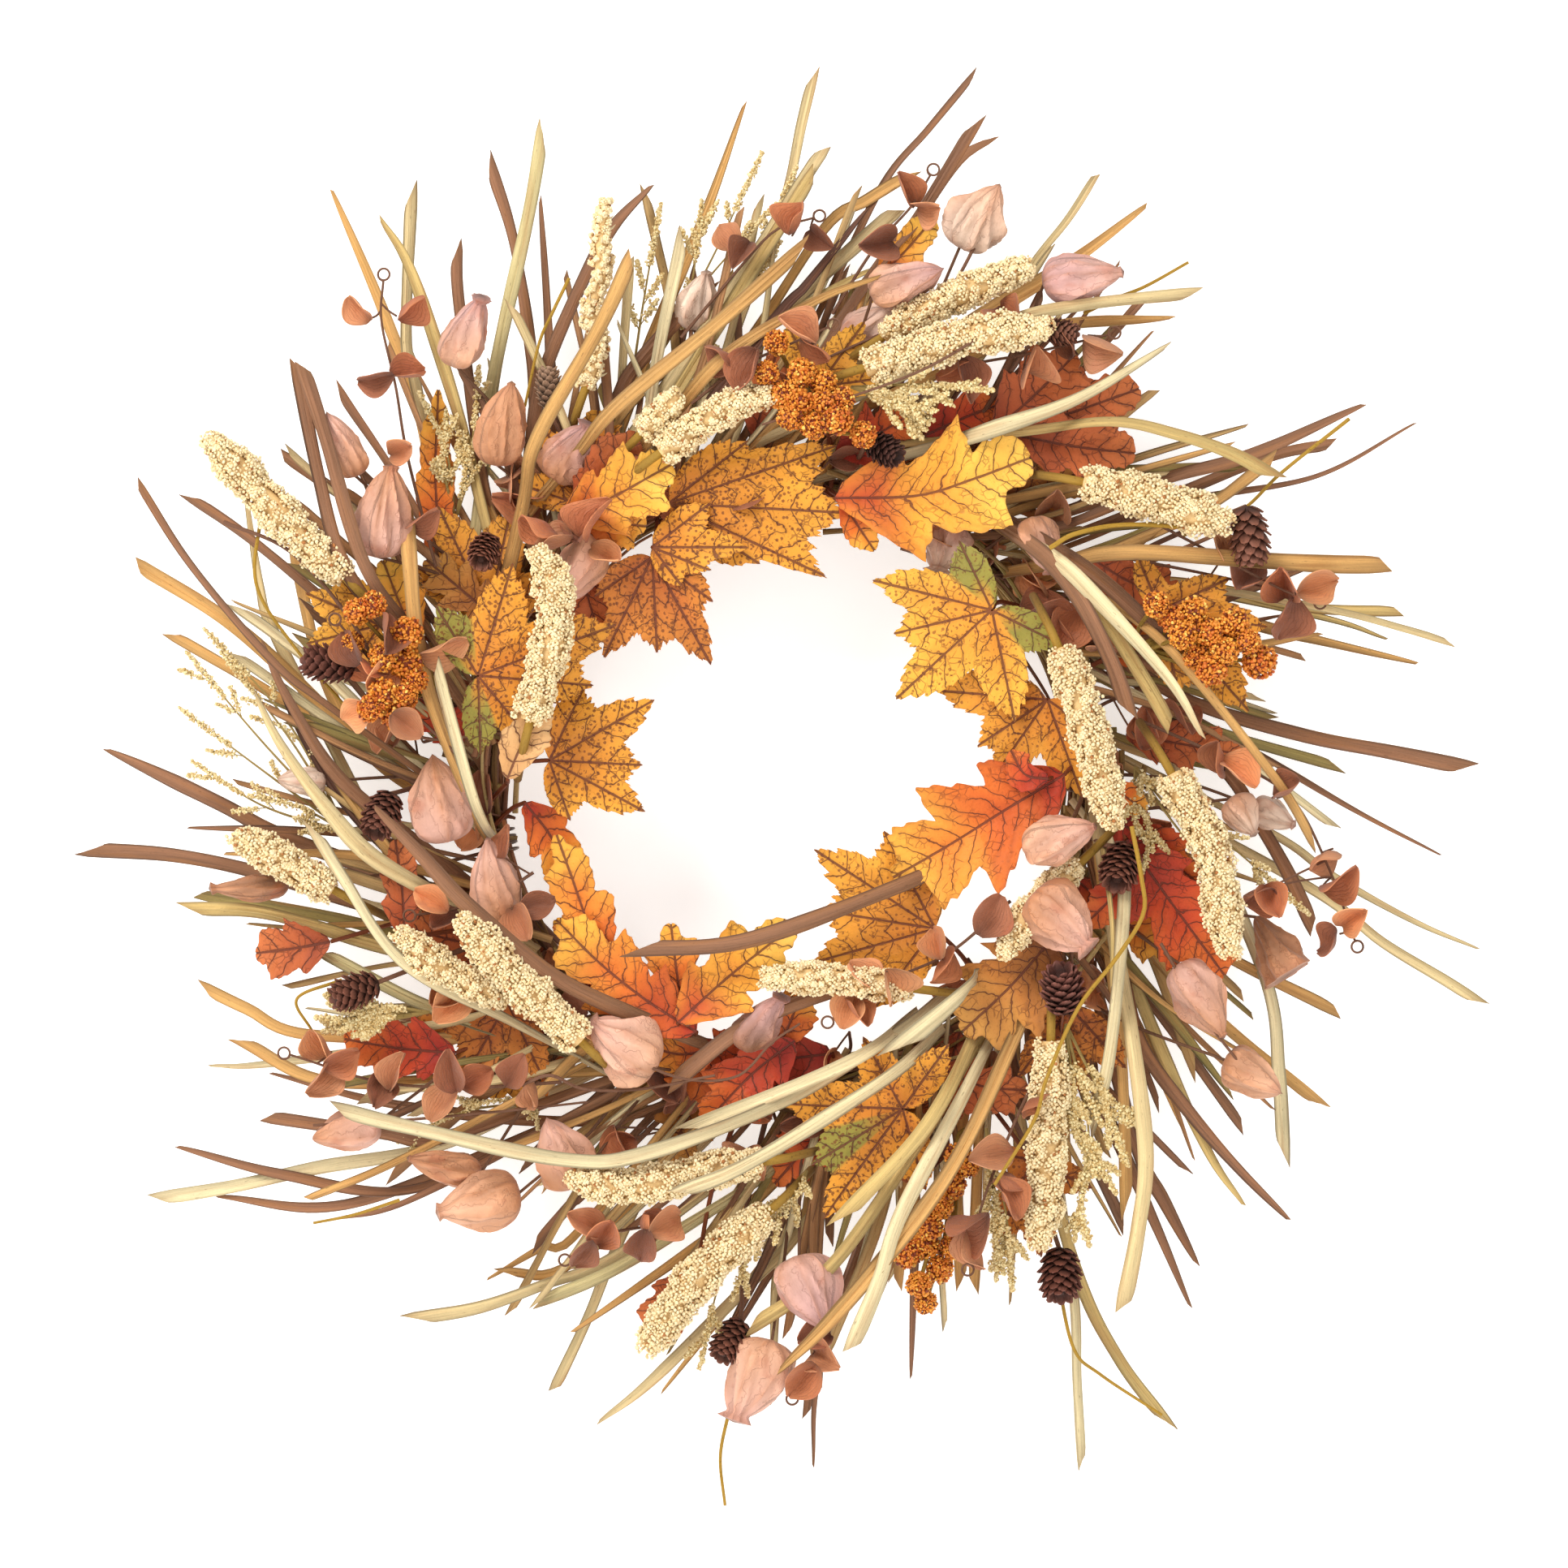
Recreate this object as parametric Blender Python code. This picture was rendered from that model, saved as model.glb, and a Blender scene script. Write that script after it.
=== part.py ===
"""Harvest door wreath: grass, leaves, seed heads, berries, cones and pods wired round a stem ring.

The wreath hangs against a door. +X is to the right seen from the front, +Z is up and the front
faces -Y. The origin is the point where the door's hook carries the hanging loop. Every list below
is in millimetres: x and z are measured from the ring's centre, and depth from the door forwards.
Everything that is wired on leans out of the ring clockwise, seen from the front.
"""

import math

import bmesh
import bpy
from mathutils import Vector

MM = 0.001

# Ring of bound stems.
RING_RADIUS = 128.0
RING_TUBE = 7.0
RING_DEPTH = 24.0
RING_STEPS = 60
RING_SIDES = 10

# Hanging loop, a closed wire that swings in the hanger link behind the ring's top.
LOOP_DEPTH = 10.0
LOOP_HEIGHT = 34.0
LOOP_HALF_WIDTH = 12.0
LOOP_WIRE = 1.1
HOOK_DROP = RING_RADIUS + LOOP_HEIGHT - LOOP_WIRE

# Hanger link, an egg-shaped wire round both the ring's tube and the loop's bottom bar.
LINK_WIRE = 0.9
LINK_CLEARANCE = 0.7

# Binding wire, short coils round the ring between the picks.
BINDING_ANGLES = {"binding_wire_left": 192.0, "binding_wire_right": 0.0}
BINDING_TURNS = 3
BINDING_STEPS = 16
BINDING_WIRE = 0.6
BINDING_PITCH = 2.2

# Stems end this far from the ring's surface.
ROOT_GAP = 0.5
STEM_RADIUS = 1.0

# Grass sprays.
HUB_REACH = 20.0
HUB_HALF_WIDTH = 2.0
HUB_HALF_THICKNESS = 1.2
BLADE_STEP = 3.4
BLADE_HALF_WIDTHS = (1.4, 2.7, 2.3, 0.8)
BLADE_HALF_THICKNESS = 0.55
BEND_SHARE = 0.45
# Depth of each layer's hubs, and how far its blades lie from the hub at their bend and tip, by turns.
SPRAY_LAYERS = {"back": (20.0, (0.0, -8.0), (-1.0, -10.0)), "front": (28.0, (0.0, 8.0), (1.0, 10.0))}

# name: root angle in degrees anticlockwise from +X, layer, tips (x, z).
GRASS_SPRAYS = {
    "grass_spray_left": (204, "back", [(-296, 13), (-304, -31), (-258, -56)]),
    "grass_spray_left_high": (182, "front", [(-236, 129), (-276, 126), (-282, 93), (-268, 63)]),
    "grass_spray_upper_left": (154, "back", [(-163, 256), (-198, 257), (-209, 205)]),
    "grass_spray_top_left": (136, "front", [(-105, 279), (-129, 268), (-142, 229)]),
    "grass_spray_top": (120, "back", [(-18, 294), (-58, 256), (-66, 222)]),
    "grass_spray_top_tall": (108, "front", [(35, 246), (16, 272), (12, 307)]),
    "grass_spray_top_right": (98, "back", [(82, 283), (82, 307), (54, 264)]),
    "grass_spray_upper_right": (78, "front", [(174, 207), (156, 248), (135, 263)]),
    "grass_spray_right_high": (54, "back", [(208, 129), (274, 155), (250, 162)]),
    "grass_spray_right": (36, "front", [(273, 50), (287, 59), (256, 92)]),
    "grass_spray_right_low": (14, "back", [(302, -97), (302, -74), (285, -33), (294, 5)]),
    "grass_spray_lower_right": (340, "front", [(179, -211), (198, -184), (217, -190), (215, -162)]),
    "grass_spray_low_right": (318, "back", [(129, -298), (166, -280), (175, -228)]),
    "grass_spray_bottom": (290, "front", [(-3, -251), (12, -299), (28, -241)]),
    "grass_spray_low_left": (268, "back", [(-160, -233), (-125, -250), (-101, -266), (-81, -278)]),
    "grass_spray_lower_left": (236, "front", [(-265, -160), (-274, -183), (-232, -210)]),
    "grass_spray_left_low": (216, "back", [(-251, -90), (-224, -128)]),
}

# Seed spikes. name: slot angle, head's base (x, z), head's tip (x, z), depth.
SPIKE_RADIUS = 7.0
SPIKE_PROFILE = ((0.0, 0.0), (0.05, 0.6), (0.2, 0.95), (0.5, 1.0), (0.75, 0.85), (0.92, 0.55), (1.0, 0.2))
SPIKES = {
    "seed_spike_upper_left": (142, (-188, 86), (-245, 145), 80),
    "seed_spike_left": (178, (-108, 25), (-105, 96), 92),
    "seed_spike_lower_left": (237, (-87, -111), (-137, -59), 90),
    "seed_spike_bottom": (270, (-8, -185), (-59, -241), 76),
    "seed_spike_lower_right": (316, (113, -112), (107, -198), 90),
    "seed_spike_right": (32, (116, 55), (138, -19), 94),
    "seed_spike_far_right": (4, (164, 2), (188, -74), 84),
    "seed_spike_upper_right": (48, (127, 126), (187, 108), 86),
    "seed_spike_top_right": (76, (42, 189), (104, 218), 86),
    "seed_spike_top": (128, (-53, 139), (-6, 163), 84),
}

# Lantern pods. name: slot angle, middle (x, z), heading, length, radius, depth.
POD_PROFILE = ((0.0, 0.0), (0.06, 0.5), (0.2, 0.9), (0.42, 1.0), (0.65, 0.82), (0.84, 0.45), (1.0, 0.12))
PODS = {
    "lantern_pod_upper_left": (137, (-172, 114), 80, 34, 11.5, 66),
    "lantern_pod_top_left": (132, (-122, 158), 90, 32, 11, 66),
    "lantern_pod_top": (80, (82, 241), 60, 28, 12, 60),
    "lantern_pod_top_right": (72, (126, 215), 20, 28, 12, 62),
    "lantern_pod_right": (349, (112, -56), 240, 27, 13, 78),
    "lantern_pod_lower_right": (343, (177, -94), 300, 30, 13, 66),
    "lantern_pod_bottom": (276, (-12, -257), 250, 32, 13, 62),
    "lantern_pod_lower_left": (243, (-131, -180), 200, 30, 12, 66),
    "lantern_pod_left": (188, (-148, -9), 150, 32, 13, 70),
}

# Pine cones. name: slot angle, middle (x, z), heading, length, radius, depth.
CONE_PROFILE = ((0.0, 0.0), (0.06, 0.6), (0.2, 0.95), (0.4, 1.0), (0.7, 0.75), (0.9, 0.45), (1.0, 0.2))
CONES = {
    "pine_cone_left": (166, (-194, 49), 170, 21, 8, 66),
    "pine_cone_lower_left": (206, (-183, -90), 200, 17, 9, 64),
    "pine_cone_upper_right": (42, (197, 104), 0, 21, 9, 64),
    "pine_cone_lower_right": (310, (117, -212), 270, 19, 9, 62),
}

# Berry sprigs: berries threaded along one stem. name: slot angle, berry middles (x, z), depth.
BERRY_RADIUS = 5.0
BERRY_SPRIGS = {
    "berry_sprig_top": (86, [(-4, 160), (7, 172), (21, 163), (33, 147)], 72),
    "berry_sprig_left": (170, [(-158, 58), (-166, 70), (-178, 71)], 70),
    "berry_sprig_right": (36, [(160, 70), (172, 76), (183, 66), (195, 54)], 72),
    "berry_sprig_bottom": (300, [(60, -188), (52, -202), (48, -218)], 70),
}

# Leaves: half outlines as (across, along), from the stem to the tip, for a leaf one unit long.
LEAF_HALF_THICKNESS = 0.6
STEM_LEAD = 6.0
MAPLE_HALF = [
    (0.03, 0.0),
    (0.34, -0.10),
    (0.28, 0.08),
    (0.60, 0.20),
    (0.48, 0.30),
    (0.60, 0.52),
    (0.22, 0.42),
    (0.26, 0.66),
    (0.13, 0.68),
    (0.0, 1.0),
]
OAK_HALF = [
    (0.03, 0.0),
    (0.10, 0.12),
    (0.23, 0.20),
    (0.12, 0.33),
    (0.30, 0.45),
    (0.15, 0.56),
    (0.24, 0.70),
    (0.10, 0.77),
    (0.0, 1.0),
]
# name: slot angle, stem end (x, z), heading, length, depth, how far the tip stands forward.
MAPLE_LEAVES = {
    "maple_leaf_top": (124, (-57, 109), 12, 72, 54, 4),
    "maple_leaf_upper_left": (118, (-60, 88), 292, 46, 48, 4),
    "maple_leaf_right": (40, (88, 72), 206, 52, 56, 4),
    "maple_leaf_right_low": (14, (112, 34), 188, 54, 48, 4),
    "maple_leaf_left_high": (164, (-122, 50), 68, 46, 56, 4),
    "maple_leaf_lower_right": (326, (64, -64), 172, 54, 52, 4),
    "maple_leaf_bottom": (304, (49, -144), 190, 50, 54, 4),
}
OAK_LEAVES = {
    "oak_leaf_top_right": (70, (52, 116), 18, 58, 52, 4),
    "oak_leaf_right": (352, (109, -7), 208, 62, 60, 4),
    "oak_leaf_left": (212, (-163, -67), 94, 40, 54, 4),
    "oak_leaf_bottom": (273, (-8, -113), 204, 52, 62, 4),
}

# Materials: base colour, roughness, metallic.
MATERIALS = {
    "ring_stems": ((0.20, 0.12, 0.06), 0.8, 0.0),
    "wire": ((0.07, 0.05, 0.04), 0.5, 0.6),
    "grass": ((0.60, 0.42, 0.20), 0.8, 0.0),
    "seed_head": ((0.78, 0.68, 0.42), 0.7, 0.0),
    "pod": ((0.75, 0.42, 0.28), 0.7, 0.0),
    "cone": ((0.09, 0.04, 0.025), 0.8, 0.0),
    "berry": ((0.75, 0.23, 0.04), 0.5, 0.0),
    "maple_leaf": ((0.82, 0.42, 0.07), 0.75, 0.0),
    "oak_leaf": ((0.70, 0.15, 0.04), 0.75, 0.0),
}


def clear_scene():
    for obj in list(bpy.data.objects):
        bpy.data.objects.remove(obj, do_unlink=True)


def make_materials():
    made = {}
    for name, (colour, roughness, metallic) in MATERIALS.items():
        material = bpy.data.materials.new(name)
        material.use_nodes = True
        shader = material.node_tree.nodes["Principled BSDF"]
        shader.inputs["Base Color"].default_value = (*colour, 1.0)
        shader.inputs["Roughness"].default_value = roughness
        shader.inputs["Metallic"].default_value = metallic
        made[name] = material
    return made


def place(x, z, depth):
    """The point x, z from the ring's centre, that far in front of the door, in mm."""
    return Vector((x, LOOP_DEPTH - depth, z - HOOK_DROP))


def on_ring(angle, radius, depth):
    turn = math.radians(angle)
    return place(radius * math.cos(turn), radius * math.sin(turn), depth)


def finish_object(name, mesh_builder, material, smooth=True):
    """Turns a bmesh in mm into a named object in metres, its faces pointing out."""
    bmesh.ops.recalc_face_normals(mesh_builder, faces=mesh_builder.faces)
    if mesh_builder.calc_volume(signed=True) < 0:
        bmesh.ops.reverse_faces(mesh_builder, faces=mesh_builder.faces)
    bmesh.ops.scale(mesh_builder, vec=(MM, MM, MM), verts=mesh_builder.verts)
    mesh = bpy.data.meshes.new(name)
    mesh_builder.to_mesh(mesh)
    mesh_builder.free()
    mesh.materials.append(material)
    if smooth:
        mesh.shade_smooth()
        mesh.set_sharp_from_angle(angle=math.radians(40))
    obj = bpy.data.objects.new(name, mesh)
    bpy.context.scene.collection.objects.link(obj)
    return obj


def directions(path):
    """The direction of travel at each point of a path."""
    found = []
    for i in range(len(path)):
        before = path[max(i - 1, 0)]
        after = path[min(i + 1, len(path) - 1)]
        found.append((after - before).normalized())
    return found


def grow(builder, start, path, across, sizes):
    """Extrudes the loop of vertices start along path, and caps its end.

    across is the direction of the section's width at the start. Each entry of sizes holds the
    half width and half thickness at that point of the path, path[0] being where start lies.
    """
    count = len(start)
    if count == 4:
        section = [(-1, -1), (1, -1), (1, 1), (-1, 1)]
    else:
        turns = [math.tau * k / count for k in range(count)]
        section = [(math.cos(turn), math.sin(turn)) for turn in turns]
    loop = start
    for i, forward in enumerate(directions(path)):
        across = (across - forward * across.dot(forward)).normalized()
        if i == 0:
            continue
        up = forward.cross(across)
        half_width, half_thickness = sizes[i]
        new = [
            builder.verts.new(path[i] + across * u * half_width + up * v * half_thickness)
            for u, v in section
        ]
        for k in range(count):
            builder.faces.new((loop[k], loop[k - count + 1], new[k - count + 1], new[k]))
        loop = new
    builder.faces.new(loop)


def turned(builder, path, radii, sides):
    """A round solid along path, whose radius at each point is given."""
    forward = directions(path)[0]
    helper = Vector((0, 1, 0)) if abs(forward.y) < 0.9 else Vector((1, 0, 0))
    across = (helper - forward * helper.dot(forward)).normalized()
    up = forward.cross(across)
    start = []
    for k in range(sides):
        turn = math.tau * k / sides
        start.append(
            builder.verts.new(path[0] + (across * math.cos(turn) + up * math.sin(turn)) * radii[0])
        )
    builder.faces.new(list(reversed(start)))
    grow(builder, start, path, across, [(radius, radius) for radius in radii])


def closed_wire(name, points, radius, material):
    """A closed loop of wire through points."""
    curve = bpy.data.curves.new(name, "CURVE")
    curve.dimensions = "3D"
    curve.bevel_depth = radius * MM
    curve.bevel_resolution = 1
    spline = curve.splines.new("POLY")
    spline.points.add(len(points) - 1)
    for spot, point in zip(spline.points, points, strict=True):
        spot.co = (*(point * MM), 1.0)
    spline.use_cyclic_u = True
    curve.materials.append(material)
    obj = bpy.data.objects.new(name, curve)
    bpy.context.scene.collection.objects.link(obj)
    return obj


def arc(centre, radius, first, last, steps):
    """Points on an arc, as pairs, from the angle first to last in degrees, both included."""
    points = []
    for i in range(steps + 1):
        turn = math.radians(first + (last - first) * i / steps)
        points.append((centre[0] + radius * math.cos(turn), centre[1] + radius * math.sin(turn)))
    return points


def base_ring(material):
    builder = bmesh.new()
    loops = []
    for i in range(RING_STEPS):
        angle = 360.0 * i / RING_STEPS
        loop = []
        for k in range(RING_SIDES):
            turn = math.tau * k / RING_SIDES
            radius = RING_RADIUS + RING_TUBE * math.cos(turn)
            loop.append(builder.verts.new(on_ring(angle, radius, RING_DEPTH + RING_TUBE * math.sin(turn))))
        loops.append(loop)
    for i in range(RING_STEPS):
        near, far = loops[i - 1], loops[i]
        for k in range(RING_SIDES):
            builder.faces.new((near[k - 1], near[k], far[k], far[k - 1]))
    return finish_object("base_ring", builder, material)


def hanging_loop(material):
    """An arch with rounded feet, its bottom bar on the swing axis."""
    foot = 4.0
    outline = arc((-LOOP_HALF_WIDTH + foot, foot), foot, 180, 270, 4)
    outline += arc((LOOP_HALF_WIDTH - foot, foot), foot, 270, 360, 4)
    outline += arc((0, LOOP_HEIGHT - LOOP_HALF_WIDTH), LOOP_HALF_WIDTH, 0, 180, 12)
    points = [place(x, RING_RADIUS + z, LOOP_DEPTH) for x, z in outline]
    return closed_wire("hanging_loop", points, LOOP_WIRE, material)


def hanger_link(material):
    """The outline, in depth and height, of a belt round the ring's tube and the loop's bar."""
    big = RING_TUBE + LINK_CLEARANCE + LINK_WIRE
    small = LOOP_WIRE + LINK_CLEARANCE + LINK_WIRE
    tangent = math.degrees(math.acos((big - small) / (RING_DEPTH - LOOP_DEPTH)))
    outline = arc((RING_DEPTH, 0), big, tangent - 180, 180 - tangent, 14)
    outline += arc((LOOP_DEPTH, 0), small, 180 - tangent, 180 + tangent, 6)
    points = [place(0, RING_RADIUS + height, depth) for depth, height in outline]
    return closed_wire("hanger_link", points, LINK_WIRE, material)


def binding_wire(name, angle, material):
    """A short open coil round the ring's tube."""
    steps = BINDING_TURNS * BINDING_STEPS
    coil = RING_TUBE + ROOT_GAP + BINDING_WIRE
    length = BINDING_TURNS * BINDING_PITCH
    path = []
    for i in range(steps + 1):
        turn = math.tau * BINDING_TURNS * i / steps
        along = angle + math.degrees(length * (i / steps - 0.5) / RING_RADIUS)
        path.append(on_ring(along, RING_RADIUS + coil * math.cos(turn), RING_DEPTH + coil * math.sin(turn)))
    builder = bmesh.new()
    turned(builder, path, [BINDING_WIRE] * len(path), 6)
    return finish_object(name, builder, material)


def grass_spray(name, root, layer, tips, material):
    """Flat blades that fan out of one wired bundle on the ring's outer side."""
    hub_depth, bend_offsets, tip_offsets = SPRAY_LAYERS[layer]
    foot = on_ring(root, RING_RADIUS + RING_TUBE + ROOT_GAP + HUB_HALF_WIDTH, hub_depth)
    targets = [place(x, z, hub_depth) for x, z in tips]
    middle = sum(targets, Vector()) / len(targets)
    heading = math.atan2(middle.z - foot.z, middle.x - foot.x)
    count = len(targets)
    half_fan = BLADE_STEP * count / 2

    def hub_point(along, aside, forwards):
        """A point in the hub's own heading, that far in front of its middle plane."""
        forward = Vector((math.cos(heading), 0, math.sin(heading)))
        side = Vector((-math.sin(heading), 0, math.cos(heading)))
        return foot + forward * along + side * aside + Vector((0, -forwards, 0))

    corners = [(0.0, HUB_HALF_WIDTH), (0.0, -HUB_HALF_WIDTH)]
    corners += [(HUB_REACH, -half_fan + BLADE_STEP * i) for i in range(count + 1)]
    builder = bmesh.new()
    front = [builder.verts.new(hub_point(*corner, HUB_HALF_THICKNESS)) for corner in corners]
    back = [builder.verts.new(hub_point(*corner, -HUB_HALF_THICKNESS)) for corner in corners]
    builder.faces.new(front)
    builder.faces.new(list(reversed(back)))
    first_blade = 2
    total = len(corners)
    for k in range(total):
        after = (k + 1) % total
        if not first_blade <= k < first_blade + count:
            builder.faces.new((front[k], front[after], back[after], back[k]))
    # The hub's corners run anticlockwise, and so do the blades.
    ordered = sorted(targets, key=lambda target: turn_from(heading, foot, target))
    for i, target in enumerate(ordered):
        k = first_blade + i
        start = [back[k], back[k + 1], front[k + 1], front[k]]
        base = (back[k].co + front[k + 1].co) / 2
        tip = target + Vector((0, -tip_offsets[i % 2], 0))
        reach = (tip - base).length
        bend = hub_point(HUB_REACH + reach * BEND_SHARE, -half_fan + BLADE_STEP * (i + 0.5), bend_offsets[i % 2])
        path = []
        for step in range(len(BLADE_HALF_WIDTHS) + 1):
            t = step / len(BLADE_HALF_WIDTHS)
            path.append(base * (1 - t) ** 2 + bend * 2 * t * (1 - t) + tip * t**2)
        sizes = [(BLADE_STEP / 2, HUB_HALF_THICKNESS)]
        sizes += [(half_width, BLADE_HALF_THICKNESS) for half_width in BLADE_HALF_WIDTHS]
        grow(builder, start, path, front[k + 1].co - front[k].co, sizes)
    return finish_object(name, builder, material, smooth=False)


def turn_from(heading, foot, tip):
    """How far the tip lies anticlockwise of the heading, seen from the front."""
    turn = math.atan2(tip.z - foot.z, tip.x - foot.x) - heading
    return (turn + math.pi) % math.tau - math.pi


def stem_route(slot, depth):
    """The two points of a stem that stands straight out of the ring's front."""
    root_depth = RING_DEPTH + RING_TUBE + ROOT_GAP
    return [on_ring(slot, RING_RADIUS, root_depth), on_ring(slot, RING_RADIUS, depth)]


def headed_pick(name, slot, base, tip, profile, radius, depth, sides, material):
    """A stem out of the ring that ends in a round head from base to tip."""
    path = stem_route(slot, depth)
    radii = [STEM_RADIUS, STEM_RADIUS]
    start = place(*base, depth)
    end = place(*tip, depth)
    for share, scale in profile:
        path.append(start.lerp(end, share))
        radii.append(max(STEM_RADIUS, radius * scale))
    builder = bmesh.new()
    turned(builder, path, radii, sides)
    return finish_object(name, builder, material)


def short_pick(name, slot, middle, heading, length, radius, depth, profile, sides, material):
    """A headed pick given by its head's middle and heading."""
    turn = math.radians(heading)
    reach = Vector((math.cos(turn), math.sin(turn))) * length / 2
    base = (middle[0] - reach.x, middle[1] - reach.y)
    tip = (middle[0] + reach.x, middle[1] + reach.y)
    return headed_pick(name, slot, base, tip, profile, radius, depth, sides, material)


def berry_sprig(name, slot, middles, depth, material):
    """Berries threaded on one stem out of the ring."""
    path = stem_route(slot, depth)
    radii = [STEM_RADIUS, STEM_RADIUS]
    for middle in middles:
        centre = place(*middle, depth)
        forward = (centre - path[-1]).normalized()
        for share in (-1.0, -0.6, 0.0, 0.6, 1.0):
            path.append(centre + forward * share * BERRY_RADIUS)
            radii.append(max(STEM_RADIUS, BERRY_RADIUS * math.sqrt(1 - share**2)))
    builder = bmesh.new()
    turned(builder, path, radii, 8)
    return finish_object(name, builder, material)


def leaf(name, slot, stem_end, heading, length, depth, rise, half_outline, material):
    """A flat lobed plate, its stem running back to the ring's front."""
    turn = math.radians(heading)
    tilt = math.asin(rise / length)
    along = Vector((math.cos(turn) * math.cos(tilt), -math.sin(tilt), math.sin(turn) * math.cos(tilt)))
    side = Vector((-math.sin(turn), 0, math.cos(turn)))
    normal = along.cross(side).normalized()
    base = place(*stem_end, depth)
    tip_to_base = [(-u, v) for u, v in reversed(half_outline[:-1])]
    outline = half_outline + tip_to_base
    builder = bmesh.new()
    faces = []
    for sign in (-1, 1):
        offset = normal * LEAF_HALF_THICKNESS * sign
        faces.append([builder.verts.new(base + (side * u + along * v) * length + offset) for u, v in outline])
    low, high = faces
    builder.faces.new(low)
    builder.faces.new(list(reversed(high)))
    total = len(outline)
    for k in range(total - 1):
        builder.faces.new((low[k], low[k + 1], high[k + 1], high[k]))
    # The stem grows out of the side between the outline's last and first points.
    start = [high[-1], high[0], low[0], low[-1]]
    root, top = stem_route(slot, depth)
    path = [base, base - along * STEM_LEAD, top, root]
    sizes = [(0.03 * length, LEAF_HALF_THICKNESS)] + [(STEM_RADIUS, STEM_RADIUS)] * 3
    grow(builder, start, path, side, sizes)
    return finish_object(name, builder, material, smooth=False)


def main():
    clear_scene()
    materials = make_materials()
    base_ring(materials["ring_stems"])
    hanging_loop(materials["wire"])
    hanger_link(materials["wire"])
    for name, angle in BINDING_ANGLES.items():
        binding_wire(name, angle, materials["wire"])
    for name, (root, hub_depth, tips) in GRASS_SPRAYS.items():
        grass_spray(name, root, hub_depth, tips, materials["grass"])
    for name, (slot, base, tip, depth) in SPIKES.items():
        headed_pick(name, slot, base, tip, SPIKE_PROFILE, SPIKE_RADIUS, depth, 8, materials["seed_head"])
    for name, pod in PODS.items():
        short_pick(name, *pod, POD_PROFILE, 10, materials["pod"])
    for name, cone in CONES.items():
        short_pick(name, *cone, CONE_PROFILE, 8, materials["cone"])
    for name, sprig in BERRY_SPRIGS.items():
        berry_sprig(name, *sprig, materials["berry"])
    for name, numbers in MAPLE_LEAVES.items():
        leaf(name, *numbers, MAPLE_HALF, materials["maple_leaf"])
    for name, numbers in OAK_LEAVES.items():
        leaf(name, *numbers, OAK_HALF, materials["oak_leaf"])


main()
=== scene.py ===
"""Looks of the harvest door wreath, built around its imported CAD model.

Every place is in millimetres from the ring's centre: x to the right, z up, and depth out from the door.
The ring's centre comes from the CAD ring's box, so the scene follows the frame.
"""

import itertools
import math

import bpy
import numpy as np
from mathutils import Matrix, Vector


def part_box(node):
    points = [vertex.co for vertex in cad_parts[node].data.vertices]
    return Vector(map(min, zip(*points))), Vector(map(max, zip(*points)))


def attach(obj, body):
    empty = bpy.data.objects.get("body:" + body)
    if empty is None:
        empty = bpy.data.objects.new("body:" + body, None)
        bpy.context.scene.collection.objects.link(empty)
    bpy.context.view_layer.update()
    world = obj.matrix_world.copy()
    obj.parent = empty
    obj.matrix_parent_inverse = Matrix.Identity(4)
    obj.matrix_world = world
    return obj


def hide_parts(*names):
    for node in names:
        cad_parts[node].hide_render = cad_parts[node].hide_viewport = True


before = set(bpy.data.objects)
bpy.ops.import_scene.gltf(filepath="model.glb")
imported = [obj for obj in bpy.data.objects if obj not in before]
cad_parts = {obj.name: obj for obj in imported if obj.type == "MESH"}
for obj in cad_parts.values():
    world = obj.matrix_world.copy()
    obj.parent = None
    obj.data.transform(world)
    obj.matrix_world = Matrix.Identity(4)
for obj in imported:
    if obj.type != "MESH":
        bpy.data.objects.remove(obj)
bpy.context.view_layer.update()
RANDOM = np.random.default_rng(7)

RING_LOW, RING_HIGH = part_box("base_ring")
RING_DEPTH = 24.0  # of the ring's own centre line, out from the door
ORIGIN = np.array(
    [
        (RING_LOW.x + RING_HIGH.x) / 2,
        (RING_LOW.y + RING_HIGH.y) / 2 + RING_DEPTH / 1000,
        (RING_LOW.z + RING_HIGH.z) / 2,
    ]
)
RING_RADIUS = 128.0
GOLDEN_TURN = 2.399  # from one grain or cone scale to the next, round a stem
SHARP_DEGREES = 46
BLADE_THICKNESS, LEAF_THICKNESS, CUP_THICKNESS = 0.55, 0.5, 0.4


# ---------------------------------------------------------------- colours


def linear(colour):
    """A colour in 0..255 sRGB as linear light."""
    c = np.asarray(colour, float) / 255
    return np.where(c <= 0.04045, c / 12.92, ((c + 0.055) / 1.055) ** 2.4)


def rgba(colour):
    """A colour in 0..255 sRGB, as a shader socket takes it."""
    return (*linear(colour), 1.0)


def between(a, b, t):
    """Linear colour between a and b, for a number or an array t."""
    t = np.asarray(t, float)[..., None]
    return linear(a) * (1 - t) + linear(b) * t


# ---------------------------------------------------------------- meshes


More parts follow.
